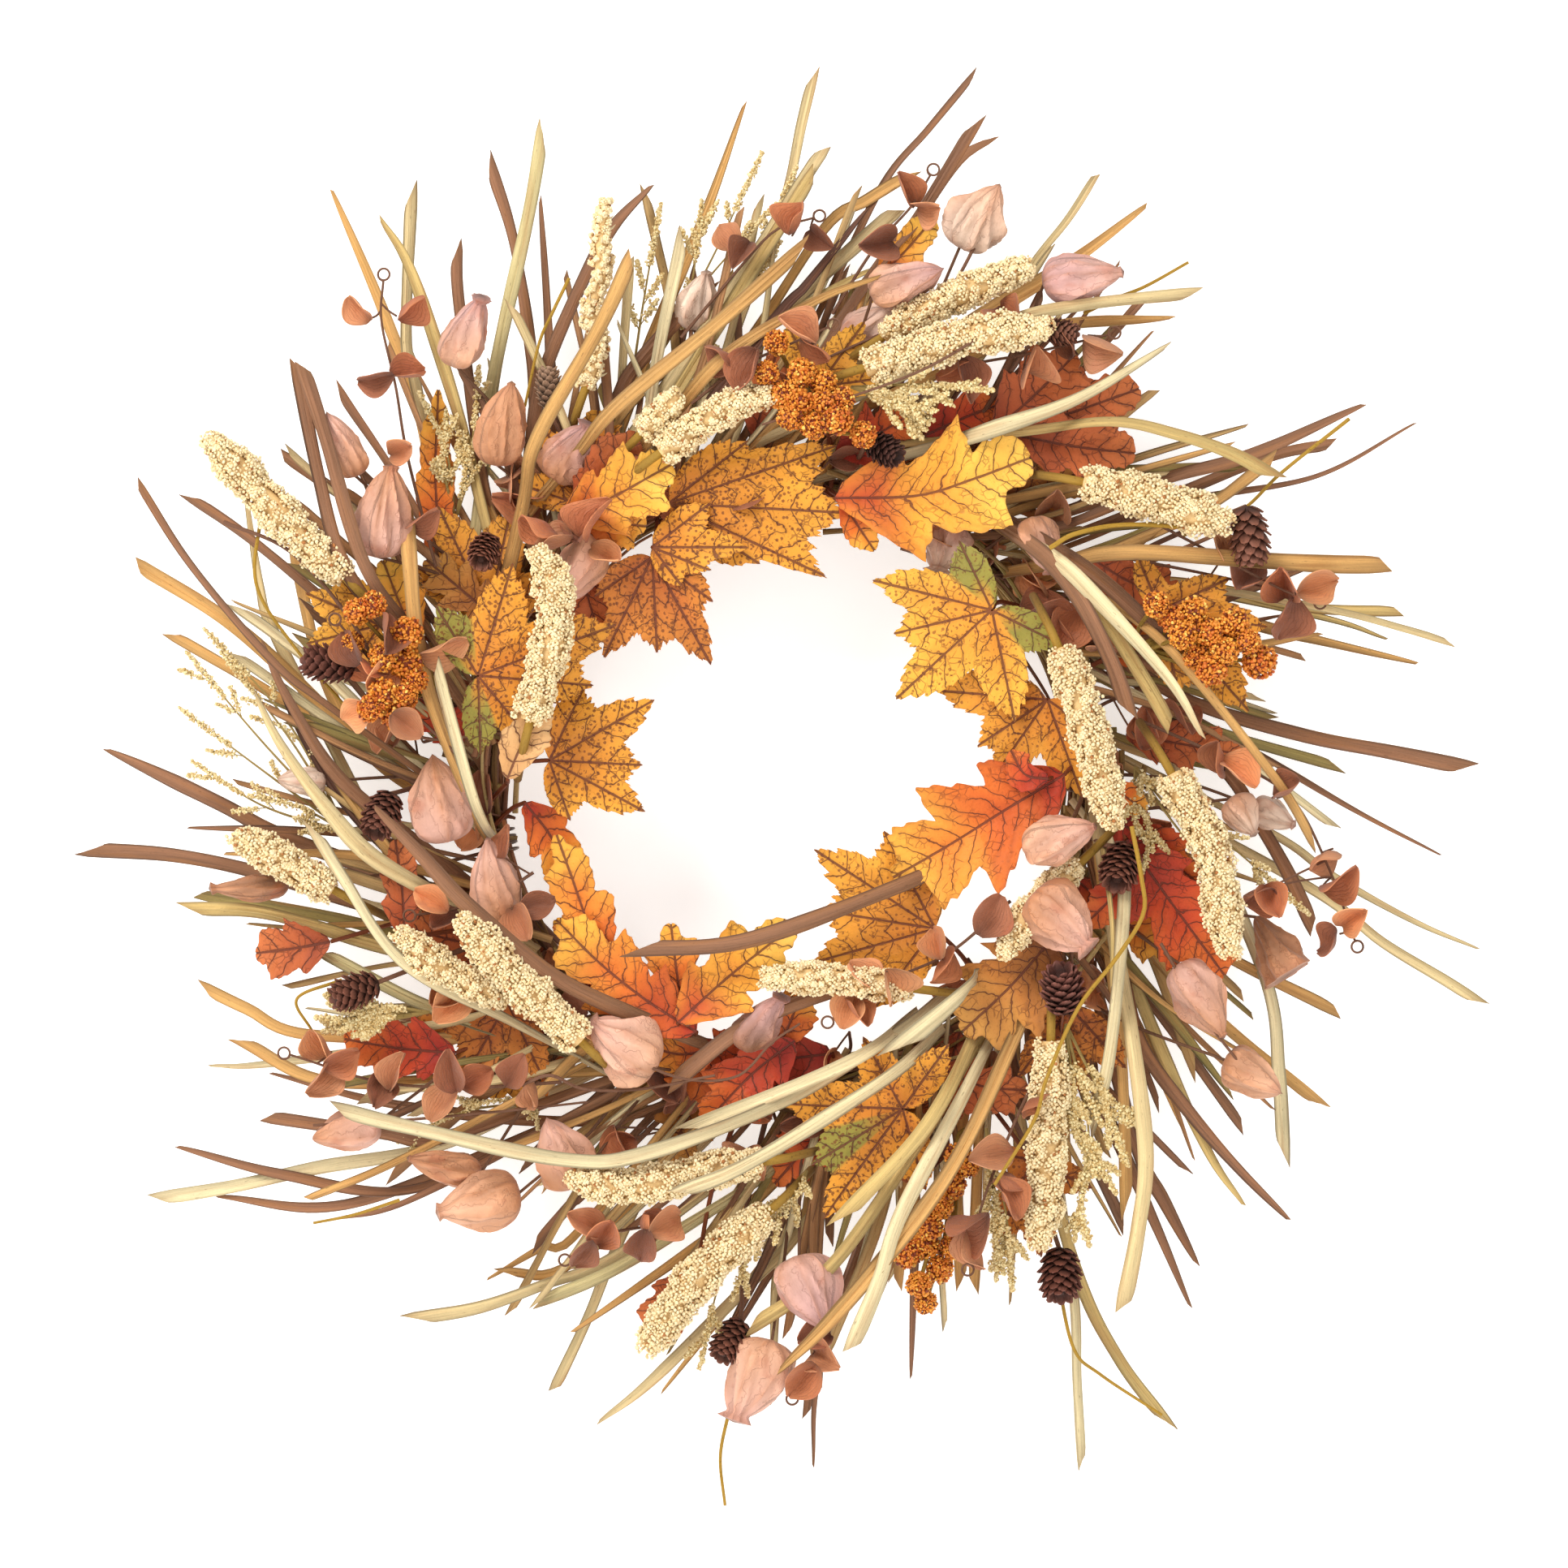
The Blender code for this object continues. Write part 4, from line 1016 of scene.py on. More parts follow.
# Each layer's depth at the tip, the middle and the root.
LAYERS = {"k": (14, 17, 21), "m": (36, 38, 33), "f": (66, 74, 36), "t": (80, 84, 38)}
BLADES = [
    ("g", 5.4, "k", [(-198, 257), (-174, 201), (-159, 158), (-149, 95)]),
    ("c", 5.4, "k", [(-163, 256), (-165, 194), (-162, 178), (-150, 120)]),
    ("h", 6.0, "m", [(-175, 242), (-161, 218), (-141, 158), (-132, 122)]),
    ("b", 5.0, "m", [(-142, 229), (-141, 206), (-132, 136), (-126, 109)]),
    ("b", 5.4, "k", [(-129, 268), (-119, 235), (-111, 187), (-109, 158)]),
    ("l", 5.8, "m", [(-105, 279), (-111, 244), (-126, 175), (-131, 132)]),
    ("b", 4.6, "k", [(-107, 253), (-105, 224), (-103, 189)]),
    ("b", 5.6, "m", [(-58, 256), (-74, 239), (-86, 218), (-105, 172), (-112, 130)]),
    ("g", 6.4, "f", [(-66, 222), (-80, 191), (-106, 144), (-113, 115)]),
    ("g", 5.6, "k", [(-18, 294), (-35, 246), (-59, 189), (-69, 160)]),
    ("c", 4.4, "k", [(12, 307), (7, 286), (0, 254), (-16, 210)]),
    ("c", 5.6, "m", [(16, 272), (-12, 229), (-35, 194), (-60, 158)]),
    ("h", 6.0, "m", [(12, 261), (-15, 218), (-48, 165), (-66, 136)]),
    ("b", 6.2, "m", [(-35, 212), (-65, 178), (-74, 161), (-92, 128)]),
    ("g", 6.2, "f", [(7, 226), (-29, 194), (-72, 158), (-90, 138)]),
    ("b", 3.2, "k", [(82, 307), (62, 283), (43, 260), (20, 214)]),
    ("g", 5.0, "k", [(54, 264), (35, 252), (18, 241), (-12, 196)]),
    ("b", 5.0, "m", [(82, 283), (57, 242), (42, 224), (10, 178)]),
    ("b", 4.4, "k", [(88, 279), (74, 268), (50, 232)]),
    ("d", 5.4, "m", [(35, 246), (8, 212), (0, 204), (-30, 166)]),
    ("c", 6.2, "m", [(48, 246), (14, 216), (-22, 182), (-48, 152)]),
    ("h", 5.2, "m", [(42, 222), (21, 212), (-19, 187), (-50, 158)]),
    ("g", 5.8, "f", [(40, 214), (14, 204), (-25, 180), (-52, 152)]),
    ("g", 4.8, "m", [(-41, 185), (-68, 161), (-86, 134)]),
    ("c", 3.2, "k", [(135, 263), (123, 244), (104, 219), (74, 168)]),
    ("g", 7.4, "m", [(156, 248), (124, 224), (88, 202), (62, 186)]),
    ("c", 5.4, "f", [(174, 207), (128, 202), (97, 195), (60, 178)]),
    ("g", 5.0, "m", [(167, 199), (110, 194), (60, 172)]),
    ("w", 7.2, "f", [(163, 185), (124, 162), (88, 149), (60, 142)]),
    ("h", 5.6, "f", [(208, 129), (191, 138), (167, 146), (138, 152), (95, 148)]),
    ("b", 5.8, "m", [(250, 162), (203, 141), (167, 131), (128, 118)]),
    ("b", 4.6, "k", [(238, 146), (210, 140), (160, 120)]),
    ("b", 3.0, "k", [(274, 155), (231, 132), (174, 121), (130, 104)]),
    ("g", 5.2, "m", [(211, 139), (181, 117), (140, 98)]),
    ("c", 6.2, "m", [(165, 132), (110, 125), (84, 112)]),
    ("g", 7.6, "f", [(256, 92), (217, 92), (145, 96), (116, 92)]),
    ("g", 5.0, "m", [(160, 106), (128, 93), (104, 84)]),
    ("h", 4.6, "k", [(267, 73), (225, 75), (170, 86), (126, 84)]),
    ("c", 3.2, "m", [(287, 59), (267, 65), (231, 74), (150, 88)]),
    ("h", 3.2, "k", [(262, 61), (235, 70), (160, 86)]),
    ("g", 5.2, "m", [(273, 50), (217, 63), (160, 79), (118, 84)]),
    ("b", 6.6, "m", [(294, 5), (260, 12), (224, 19), (174, 34), (138, 56)]),
    ("b", 3.0, "k", [(285, -33), (245, -12), (174, 29), (130, 50)]),
    ("b", 7.4, "t", [(145, 29), (138, 49), (125, 75), (110, 95), (88, 112)]),
    ("b", 7.2, "f", [(167, 55), (145, 76), (125, 92), (100, 108)]),
    ("w", 7.2, "t", [(177, 18), (162, 43), (123, 86), (104, 102)]),
    ("h", 6.0, "f", [(164, 23), (153, 42), (131, 74), (112, 92)]),
    ("g", 4.0, "f", [(225, -27), (210, -2), (174, 43), (153, 65), (126, 84)]),
    ("c", 3.6, "k", [(302, -74), (274, -62), (238, -42), (214, -25), (150, 8)]),
    ("c", 4.6, "k", [(302, -97), (288, -88), (260, -71), (231, -49), (160, -10)]),
    ("b", 6.2, "m", [(228, -64), (217, -40), (203, -16), (190, 4), (150, 44)]),
    ("w", 5.8, "m", [(215, -162), (213, -127), (208, -88), (182, -24)]),
    ("b", 6.4, "m", [(217, -190), (195, -168), (174, -144), (153, -114), (144, -80)]),
    ("h", 6.2, "m", [(198, -184), (181, -158), (151, -91), (140, -56)]),
    ("b", 6.2, "k", [(179, -211), (165, -184), (153, -160), (136, -96)]),
    ("b", 6.0, "m", [(175, -228), (164, -202), (153, -177), (134, -133), (124, -94)]),
    ("c", 6.8, "f", [(144, -225), (150, -191), (153, -160), (148, -112), (142, -72)]),
    ("g", 5.4, "m", [(147, -184), (145, -120), (138, -60)]),
    ("w", 4.2, "k", [(129, -298), (127, -262), (125, -219), (112, -130)]),
    ("h", 5.2, "k", [(166, -280), (145, -252), (127, -215), (106, -140)]),
    ("w", 5.8, "f", [(130, -148), (138, -117), (144, -52), (142, -36)]),
    ("h", 3.2, "t", [(138, -88), (138, -60), (136, -24)]),
    ("b", 3.2, "k", [(12, -299), (14, -262), (30, -210), (62, -130)]),
    ("b", 3.4, "k", [(9, -277), (14, -251), (40, -190), (70, -124)]),
    ("w", 6.8, "t", [(28, -241), (40, -212), (49, -184), (78, -131), (91, -108)]),
    ("h", 6.2, "f", [(-15, -234), (7, -219), (28, -197), (61, -148), (78, -120)]),
    ("g", 6.8, "t", [(-3, -251), (21, -227), (57, -184), (78, -152), (99, -108)]),
    ("h", 6.4, "f", [(24, -187), (61, -145), (87, -98)]),
    ("c", 5.2, "m", [(-81, -278), (-58, -260), (-15, -217), (7, -194), (50, -132)]),
    ("g", 3.6, "k", [(-54, -267), (-39, -248), (10, -186)]),
    ("c", 4.6, "k", [(-101, -266), (-86, -234), (-72, -200), (-40, -140)]),
    ("c", 5.4, "m", [(-160, -233), (-132, -228), (-104, -218), (-72, -205), (-10, -160)]),
    ("l", 5.4, "m", [(-106, -225), (-79, -214), (-50, -197), (7, -160), (46, -126)]),
    ("g", 4.0, "k", [(-130, -218), (-106, -204), (-93, -200), (-50, -150)]),
    ("g", 4.2, "k", [(-122, -215), (-94, -211), (-40, -160)]),
    ("g", 5.6, "m", [(-92, -239), (-43, -205), (-15, -184), (34, -134)]),
    ("w", 6.4, "t", [(-190, -140), (-161, -147), (-94, -161), (-58, -158), (0, -137), (49, -108),
     (71, -91)]),
    ("w", 6.2, "t", [(-45, -175), (-15, -162), (42, -128), (68, -107)]),
    ("w", 5.8, "f", [(-41, -149), (28, -120), (57, -100)]),
    ("w", 7.8, "t", [(48, -114), (75, -91), (85, -81)]),
    ("b", 6.8, "f", [(-49, -130), (-15, -104), (35, -86), (66, -78)]),
    ("b", 7.0, "t", [(-62, -72), (-15, -68), (52, -44), (80, -30)]),
    ("b", 7.6, "t", [(-174, -12), (-154, -32), (-132, -55), (-94, -86), (-43, -110), (-20, -118)]),
    ("w", 5.8, "k", [(-274, -183), (-239, -177), (-203, -169), (-149, -159), (-96, -134)]),
    ("b", 5.2, "k", [(-265, -160), (-218, -172), (-163, -178), (-100, -150)]),
    ("b", 5.0, "k", [(-249, -182), (-189, -185), (-100, -150)]),
    ("b", 4.2, "m", [(-195, -190), (-163, -182), (-90, -144)]),
    ("g", 3.2, "m", [(-206, -181), (-168, -165), (-104, -132)]),
    ("b", 5.4, "m", [(-224, -146), (-175, -153), (-149, -155), (-88, -134)]),
    ("b", 5.0, "k", [(-224, -128), (-168, -142), (-94, -149), (-43, -141)]),
    ("g", 5.4, "m", [(-236, -113), (-196, -131), (-120, -128)]),
    ("w", 4.2, "k", [(-251, -125), (-225, -124), (-140, -112)]),
    ("g", 5.2, "m", [(-251, -90), (-232, -99), (-206, -110), (-130, -112)]),
    ("h", 5.8, "m", [(-258, -56), (-225, -58), (-175, -72), (-120, -86)]),
    ("o", 5.4, "k", [(-255, -50), (-189, -62), (-130, -82)]),
    ("b", 6.2, "k", [(-304, -31), (-268, -33), (-232, -40), (-196, -51), (-130, -72)]),
    ("b", 6.6, "k", [(-296, 13), (-246, -11), (-218, -25), (-150, -50)]),
    ("g", 6.4, "k", [(-282, 93), (-239, 66), (-189, 21), (-138, -16)]),
    ("g", 4.6, "k", [(-268, 63), (-225, 38), (-160, -4)]),
    ("b", 3.2, "f", [(-276, 126), (-253, 91), (-218, 50), (-196, 32), (-150, -2)]),
    ("b", 5.0, "m", [(-258, 122), (-232, 104), (-196, 74), (-182, 59), (-140, 10)]),
    ("c", 5.2, "k", [(-236, 129), (-229, 83), (-224, 66), (-200, 20)]),
    ("g", 5.4, "k", [(-215, 106), (-203, 50), (-180, 10), (-136, -20)]),
    ("w", 5.2, "m", [(-236, 74), (-218, 61), (-196, 43), (-144, -10)]),
    ("c", 7.4, "f", [(-226, 36), (-215, 15), (-196, -11), (-175, -34), (-134, -58)]),
    ("b", 5.8, "f", [(-209, 177), (-199, 129), (-188, 91), (-166, 58)]),
    ("b", 5.8, "f", [(-206, 176), (-196, 146), (-179, 91), (-158, 60)]),
    ("b", 4.6, "k", [(-219, 141), (-183, 117), (-130, 82)]),
    ("w", 5.4, "f", [(-202, -21), (-189, -42), (-163, -78), (-118, -104)]),
    ("l", 5.4, "m", [(-199, -75), (-161, -95), (-132, -106), (-100, -116)]),
    ("g", 6.6, "f", [(-162, 112), (-155, 48), (-135, -9), (-125, -31)]),
    ("w", 5.0, "t", [(-148, 48), (-132, -9), (-125, -28)]),
    ("b", 5.6, "m", [(-226, 59), (-215, 35), (-192, 0), (-150, -34)]),
    ("d", 4.6, "m", [(-222, 48), (-206, 14), (-182, -20), (-140, -60)]),
    ("g", 5.0, "m", [(-205, 20), (-190, -6), (-160, -44), (-126, -76)]),
]

GROUPS = [
    "grass_spray_" + side
    for side in (
        "left left_high upper_left top_left top top_tall top_right upper_right right_high "
        "right right_low lower_right low_right bottom low_left lower_left left_low"
    ).split()
]

SHORT_REEDS = 250


def rooted(points):
    """Carries a blade that ends outside the ring on to the ring."""
    points = [np.array(p, float) for p in points]
    end, way = points[-1], unit(points[-1] - points[-2])
    if np.linalg.norm(end) > 142:
        inward = -end @ way
        spread = inward**2 - end @ end + 130**2
        reach = inward - math.sqrt(spread) if spread > 0 else inward
        points.append(end + way * min(max(reach, 12), 110))
    return points


def build_blades():
    """The long reeds of BLADES and short ones between them, each in the bundle whose CAD solid is nearest."""
    centres = {node: ((box_middle(node) - ORIGIN) * 1000)[[0, 2]] for node in GROUPS}
    groups = {node: Shape() for node in GROUPS}
    for seed, (tone, width, layer, places) in enumerate(BLADES):
        places = rooted(places)
        tip, middle, base = LAYERS[layer]
        jog = (seed * 7 % 5 - 2) * 1.5
        s = np.linspace(0, 1, len(places))
        depth = np.interp(s, [0, 0.5, 1], [tip, middle, base]) + jog
        points = np.array([at(x, z, d) for (x, z), d in zip(places, depth)])
        heart = np.mean(places[:2], axis=0)
        node = min(GROUPS, key=lambda n: np.linalg.norm(centres[n] - heart))
        blade(groups[node], points, width, TONES[tone], seed)
    # Short reeds that fill the bundle between the long ones, all leaning the same way round.
    mix = [CREAM, GOLD, BROWN, OLIVE, (196, 160, 104), (176, 128, 84), PALE, (132, 92, 66)]
    for k in range(SHORT_REEDS):
        a = RANDOM.uniform(0, 360)
        lean, length = a - RANDOM.uniform(18, 55), RANDOM.uniform(56, 140)
        start = np.array([math.cos(math.radians(a)), math.sin(math.radians(a))]) * RANDOM.uniform(118, 140)
        way = np.array([math.cos(math.radians(lean)), math.sin(math.radians(lean))])
        turned = np.array([way[1], -way[0]]) * RANDOM.uniform(-0.16, 0.10) * length
        middle, tip = start + way * length * 0.5, start + way * length + turned
        low = RANDOM.uniform(18, 40)
        points = np.array([at(*tip, low + RANDOM.uniform(-6, 10)), at(*middle, low + 5), at(*start, low)])
        node = min(GROUPS, key=lambda n: np.linalg.norm(centres[n] - tip))
        blade(groups[node], points, RANDOM.uniform(2.4, 5.4), mix[k % 8], 1000 + k)
    for node, shape in groups.items():
        keep(node.replace("grass_spray", "reeds"), shape, STRAW, "grass")


# A leaf's tones at its base, in its middle and at its tip.
FIRE = ((176, 52, 22), (222, 112, 34), (242, 170, 60))
BLAZE = ((150, 34, 20), (196, 66, 26), (222, 112, 40))
SUN = ((196, 74, 28), (238, 158, 48), (246, 190, 76))
RUST = ((160, 68, 34), (190, 94, 46), (204, 112, 58))
UMBER = ((136, 76, 34), (186, 116, 46), (208, 146, 66))
PEACHY = ((208, 150, 92), (220, 168, 110), (230, 184, 128))

# ---------------------------------------------------------------- seed heads, sprays, lanterns

SPIKES = [  # name, width, depth, places from tip to base
    ("upper_left", 16, 70, [(-245, 145), (-226, 124), (-212, 109), (-188, 86)]),
    ("left_inner", 16, 88, [(-105, 96), (-98, 83), (-98, 62), (-102, 48), (-108, 25)]),
    ("left_outer", 15, 62, [(-234, -24), (-194, -47)]),
    ("lower_left_outer", 14, 68, [(-165, -65), (-146, -81), (-118, -94)]),
    ("lower_left", 16, 84, [(-137, -59), (-118, -81), (-87, -111)]),
    ("bottom_left", 15, 74, [(-92, -169), (-72, -173), (-50, -171), (-35, -167), (-10, -163)]),
    ("bottom", 17, 72, [(-59, -241), (-43, -219), (-29, -204), (-8, -185)]),
    ("lower_right", 16, 70, [(107, -198), (110, -177), (112, -148), (113, -112)]),
    ("inner_low", 13, 76, [(-10, -84), (21, -85), (54, -89)]),
    ("inner_right", 13, 72, [(92, -75), (103, -57), (125, -36)]),
    ("right", 16, 84, [(138, -19), (130, 15), (123, 38), (116, 55)]),
    ("far_right", 16, 80, [(188, -74), (184, -49), (180, -28), (164, 2)]),
    ("upper_right", 17, 78, [(187, 108), (167, 115), (145, 122), (127, 126)]),
    ("top_right", 16, 78, [(111, 191), (78, 188), (57, 182), (34, 175)]),
    ("top_far", 14, 66, [(104, 218), (85, 211), (64, 202), (42, 189)]),
    ("top", 14, 76, [(-6, 163), (-22, 159), (-36, 151), (-53, 139)]),
    ("top_small", 12, 70, [(-46, 163), (-61, 148)]),
    ("top_slim", 9, 52, [(-77, 248), (-79, 235), (-79, 215), (-84, 201), (-80, 187), (-86, 168)]),
]

SPRAYS = [  # name, depth, base, tips, seed size, density
    ("top", 30, (-68, 164), [(-10, 272), (5, 265), (-4, 249), (-36, 251), (-54, 249),
     (-2, 233)], 0.8, 1.1),
    ("left", 34, (-190, -23), [(-251, 65), (-259, 55), (-244, 55), (-262, 31), (-257, 8), (-232, -7),
     (-212, -17)], 0.75, 1.0),
    ("upper_left", 40, (-143, 112), [(-158, 167), (-146, 159), (-132, 178), (-121, 146),
     (-138, 150)], 0.8, 1.0),
    ("lower_right", 64, (120, -105), [(135, -148), (151, -149), (124, -153), (141, -177), (117, -191),
     (123, -197), (134, -170), (146, -165)], 0.9, 1.5),
    ("low_right", 60, (86, -150), [(94, -204), (90, -214), (97, -219), (84, -196)], 0.85, 1.4),
    ("bottom", 62, (9, -168), [(2, -182), (-15, -202), (-23, -223), (-37, -252)], 0.8, 1.2),
    ("upper_right", 76, (28, 167), [(88, 165), (64, 156), (57, 158), (60, 148)], 0.9, 1.4),
    ("right", 58, (150, 5), [(157, -11), (157, -31), (188, -35), (194, -47), (224, -58),
     (150, -24)], 0.8, 1.2),
    ("lower_left", 58, (-153, -100), [(-201, -102), (-198, -108), (-196, -96), (-190, -104)], 0.9, 1.8),
    ("low_left", 34, (-105, -140), [(-139, -141), (-111, -147), (-168, -157)], 0.7, 0.9),
]

PEACH, PINK, MAUVE = (232, 178, 144), (226, 176, 158), (206, 160, 156)
TAN, LIGHT = (206, 146, 106), (236, 208, 186)
LANTERNS = [  # name, x, z, length, width, heading, depth, stem-end tone, tip tone, pitch
    ("far_left", -189, 143, 27, 19, 110, 60, TAN, PINK, 10),
    ("upper_left", -172, 114, 36, 25, 84, 62, PINK, TAN, 5),
    ("top_left", -137, 192, 30, 25, 70, 56, PEACH, MAUVE, 20),
    ("top_left_low", -122, 152, 33, 21, 84, 54, TAN, TAN, 10),
    ("dull", -93, 141, 27, 21, 60, 50, TAN, MAUVE, 20),
    ("inner_upper", -89, 89, 29, 23, 230, 62, TAN, PINK, 20),
    ("top", 82, 241, 29, 24, 60, 58, LIGHT, PEACH, 20),
    ("top_mid", 52, 213, 31, 25, 20, 62, PEACH, MAUVE, 20),
    ("top_right", 126, 215, 31, 21, 14, 66, MAUVE, PINK, 5),
    ("inner_a", 69, 99, 22, 19, 250, 46, PINK, LIGHT, 30),
    ("inner_b", 110, 100, 24, 21, 290, 60, TAN, PINK, 20),
    ("right", 116, -25, 29, 26, 20, 80, PEACH, PINK, 20),
    ("right_low", 117, -60, 31, 27, 315, 80, TAN, PINK, 15),
    ("lower_right", 177, -94, 33, 26, 300, 66, PINK, TAN, 10),
    ("far_lower_right", 200, -127, 26, 23, 330, 60, TAN, PEACH, 20),
    ("open_right", 209, -71, 26, 23, 300, 52, BROWN, TAN, 10),
    ("bottom", -12, -257, 34, 27, 250, 64, PEACH, PINK, 5),
    ("bottom_up", 11, -219, 31, 27, 290, 66, PINK, MAUVE, 20),
    ("inner_low", -69, -114, 31, 27, 146, 74, PEACH, PINK, 15),
    ("low_pink", -95, -160, 29, 25, 110, 58, TAN, PINK, 10),
    ("low_wide", -131, -180, 33, 24, 190, 62, TAN, PEACH, 10),
    ("low_flat", -146, -167, 29, 18, 170, 52, TAN, TAN, 10),
    ("low_far", -188, -152, 27, 22, 200, 56, PINK, TAN, 15),
    ("left", -148, -9, 34, 26, 100, 62, PINK, TAN, 10),
    ("left_low", -126, -45, 34, 25, 110, 58, TAN, PINK, 10),
    ("left_flat", -230, -48, 30, 15, 190, 46, BROWN, TAN, 5),
    ("back_top", -38, 207, 24, 20, 80, 34, LIGHT, LIGHT, 20),
    ("back_top_b", 38, 195, 29, 21, 30, 44, PINK, LIGHT, 20),
    ("back_left", -209, -1, 19, 16, 180, 36, LIGHT, LIGHT, 20),
    ("back_right", 210, -16, 19, 16, 330, 40, LIGHT, LIGHT, 20),
    ("back_right_b", 197, -16, 18, 15, 300, 44, PEACH, LIGHT, 20),
    ("inner_brown", -11, -103, 27, 22, 60, 64, BROWN, MAUVE, 20),
]

CUPS = [  # name, depth, the wire's places from root to loop, then each leaf: x, z, heading, size, tone
    ("top_left", 60, [(-150, 91), (-162, 138), (-167, 168), (-173, 196), (-172, 213)],
     [(-182, 202, 130, 13, 0), (-162, 203, 50, 13, 1), (-175, 171, 190, 12, 2), (-162, 173, 10, 12, 1),
      (-162, 141, 20, 12, 0), (-154, 112, 30, 13, 2)]),
    ("top", 52, [(-45, 190), (-18, 222), (-4, 236), (12, 241)],
     [(-25, 233, 130, 12, 0), (-19, 224, 240, 12, 2), (6, 238, 60, 13, 1), (15, 232, 320, 12, 2)]),
    ("top_high", 54, [(20, 200), (38, 228), (54, 246), (62, 259)],
     [(51, 253, 120, 12, 1), (62, 245, 0, 12, 0), (37, 229, 190, 13, 2)]),
    ("top_inner", 76, [(-40, 160), (-20, 175), (4, 186), (18, 192)],
     [(-24, 181, 130, 14, 2), (-13, 173, 250, 14, 2), (4, 189, 150, 14, 0), (13, 184, 320, 14, 1)]),
    ("top_right", 62, [(52, 160), (76, 176), (104, 182), (138, 190)],
     [(70, 177, 200, 15, 1), (76, 170, 280, 14, 2), (104, 179, 60, 14, 0), (122, 189, 110, 14, 2),
      (137, 187, 340, 14, 0), (95, 196, 120, 15, 1)]),
    ("right_high", 60, [(140, 96), (180, 88), (206, 82), (226, 76)],
     [(197, 85, 240, 17, 2), (213, 87, 100, 15, 1), (224, 82, 20, 14, 3), (214, 69, 250, 17, 2),
      (184, 100, 120, 13, 3)]),
    ("right", 64, [(150, 26), (190, 8), (216, -8), (232, -38), (243, -69)],
     [(187, 10, 100, 15, 1), (193, 2, 320, 14, 3), (215, -5, 30, 13, 2), (228, -32, 200, 13, 0),
      (236, -42, 30, 13, 1), (243, -58, 40, 13, 3), (234, -70, 240, 13, 2), (203, -47, 200, 13, 2),
      (207, -53, 290, 13, 1)]),
    ("low_right", 74, [(110, -120), (96, -150), (84, -180), (78, -206)],
     [(87, -161, 190, 15, 0), (99, -170, 330, 14, 2), (78, -185, 190, 15, 2), (82, -199, 290, 15, 0),
      (104, -136, 200, 13, 1), (94, -178, 300, 14, 1)]),
    ("inner_low", 72, [(96, -52), (70, -74), (44, -86), (20, -102)],
     [(27, -99, 250, 13, 3), (33, -84, 150, 14, 0), (44, -88, 280, 14, 3), (65, -79, 240, 14, 1),
      (65, -71, 100, 13, 3), (87, -58, 60, 14, 2), (30, -100, 310, 12, 1)]),
    ("bottom_left", 64, [(-20, -160), (-52, -188), (-74, -194), (-92, -204)],
     [(-86, -190, 150, 13, 0), (-77, -192, 60, 13, 1), (-86, -201, 230, 12, 2), (-62, -191, 120, 14, 1),
      (-52, -190, 30, 13, 0), (-61, -199, 260, 13, 2)]),
    ("bottom", 66, [(30, -200), (20, -226), (12, -246), (4, -262)],
     [(12, -239, 190, 14, 2), (17, -247, 330, 14, 0), (7, -255, 230, 13, 1)]),
    ("lower_left", 60, [(-96, -130), (-132, -132), (-172, -130), (-212, -118)],
     [(-198, -111, 120, 13, 3), (-199, -127, 230, 13, 0), (-190, -119, 30, 12, 1),
      (-174, -134, 250, 13, 2), (-166, -125, 70, 13, 0), (-142, -124, 100, 13, 2),
      (-147, -139, 240, 13, 0), (-132, -128, 30, 13, 1), (-115, -124, 60, 13, 2),
      (-106, -135, 290, 14, 0)]),
    ("left", 72, [(-140, 10), (-164, 34), (-178, 52), (-190, 66)],
     [(-178, 49, 150, 17, 1), (-185, 56, 120, 13, 2), (-170, 61, 100, 17, 2), (-146, 57, 20, 15, 3),
      (-182, 28, 200, 13, 3), (-161, 23, 320, 14, 0), (-170, 45, 240, 17, 3)]),
    ("left_low", 64, [(-108, -40), (-124, -50), (-144, -56), (-158, -58)],
     [(-146, -61, 220, 13, 2), (-151, -52, 150, 12, 3), (-113, -62, 300, 13, 0), (-119, -27, 80, 13, 1),
      (-106, -54, 20, 13, 2)]),
    ("top_inner_left", 74, [(-70, 140), (-84, 118), (-94, 104)],
     [(-86, 106, 250, 15, 2), (-97, 98, 200, 14, 0), (-80, 110, 60, 15, 1), (-76, 94, 330, 13, 3),
      (-104, 110, 150, 13, 1)]),
]
CUP_TONES = [  # the middle, then the rim
    ((190, 116, 74), (222, 152, 106)),
    ((170, 90, 52), (208, 128, 82)),
    ((132, 74, 48), (172, 104, 70)),
    ((222, 136, 82), (240, 168, 114)),
]

BERRIES = {  # name: depth, root, then each ball: x, z, radius
    "top": (82, (10, 150), [(-4, 185, 5.2), (7, 172, 6), (16, 168, 5.5), (-1, 163, 6), (6, 159, 6),
     (12, 149, 5.4), (22, 152, 6.2), (33, 146, 5.4), (-8, 172, 5), (2, 153, 5.4), (16, 159, 5.6),
     (24, 161, 5.2)]),
    "left": (76, (-150, 40), [(-182, 71, 5.4), (-175, 74, 5.4), (-161, 62, 6.6), (-171, 52, 6),
     (-162, 50, 7), (-158, 42, 5.6), (-171, 36, 6.4), (-166, 28, 6.4), (-176, 30, 5.4), (-184, 58, 4.6),
     (-162, 35, 5.4)]),
    "right": (80, (150, 56), [(157, 74, 5.4), (173, 71, 6), (180, 62, 6), (168, 61, 5.8),
     (190, 66, 6.2), (186, 54, 5.6), (180, 46, 6.2), (201, 50, 7), (164, 68, 5.6), (196, 58, 5),
     (174, 52, 5.2)]),
    "bottom": (58, (80, -150), [(62, -191, 5.4), (52, -203, 6), (60, -200, 6), (66, -210, 5.6),
     (57, -216, 5.2), (72, -200, 5.4), (74, -162, 5.8), (71, -174, 6), (66, -183, 5.4), (60, -224, 4.8),
     (78, -166, 4.6)]),
}

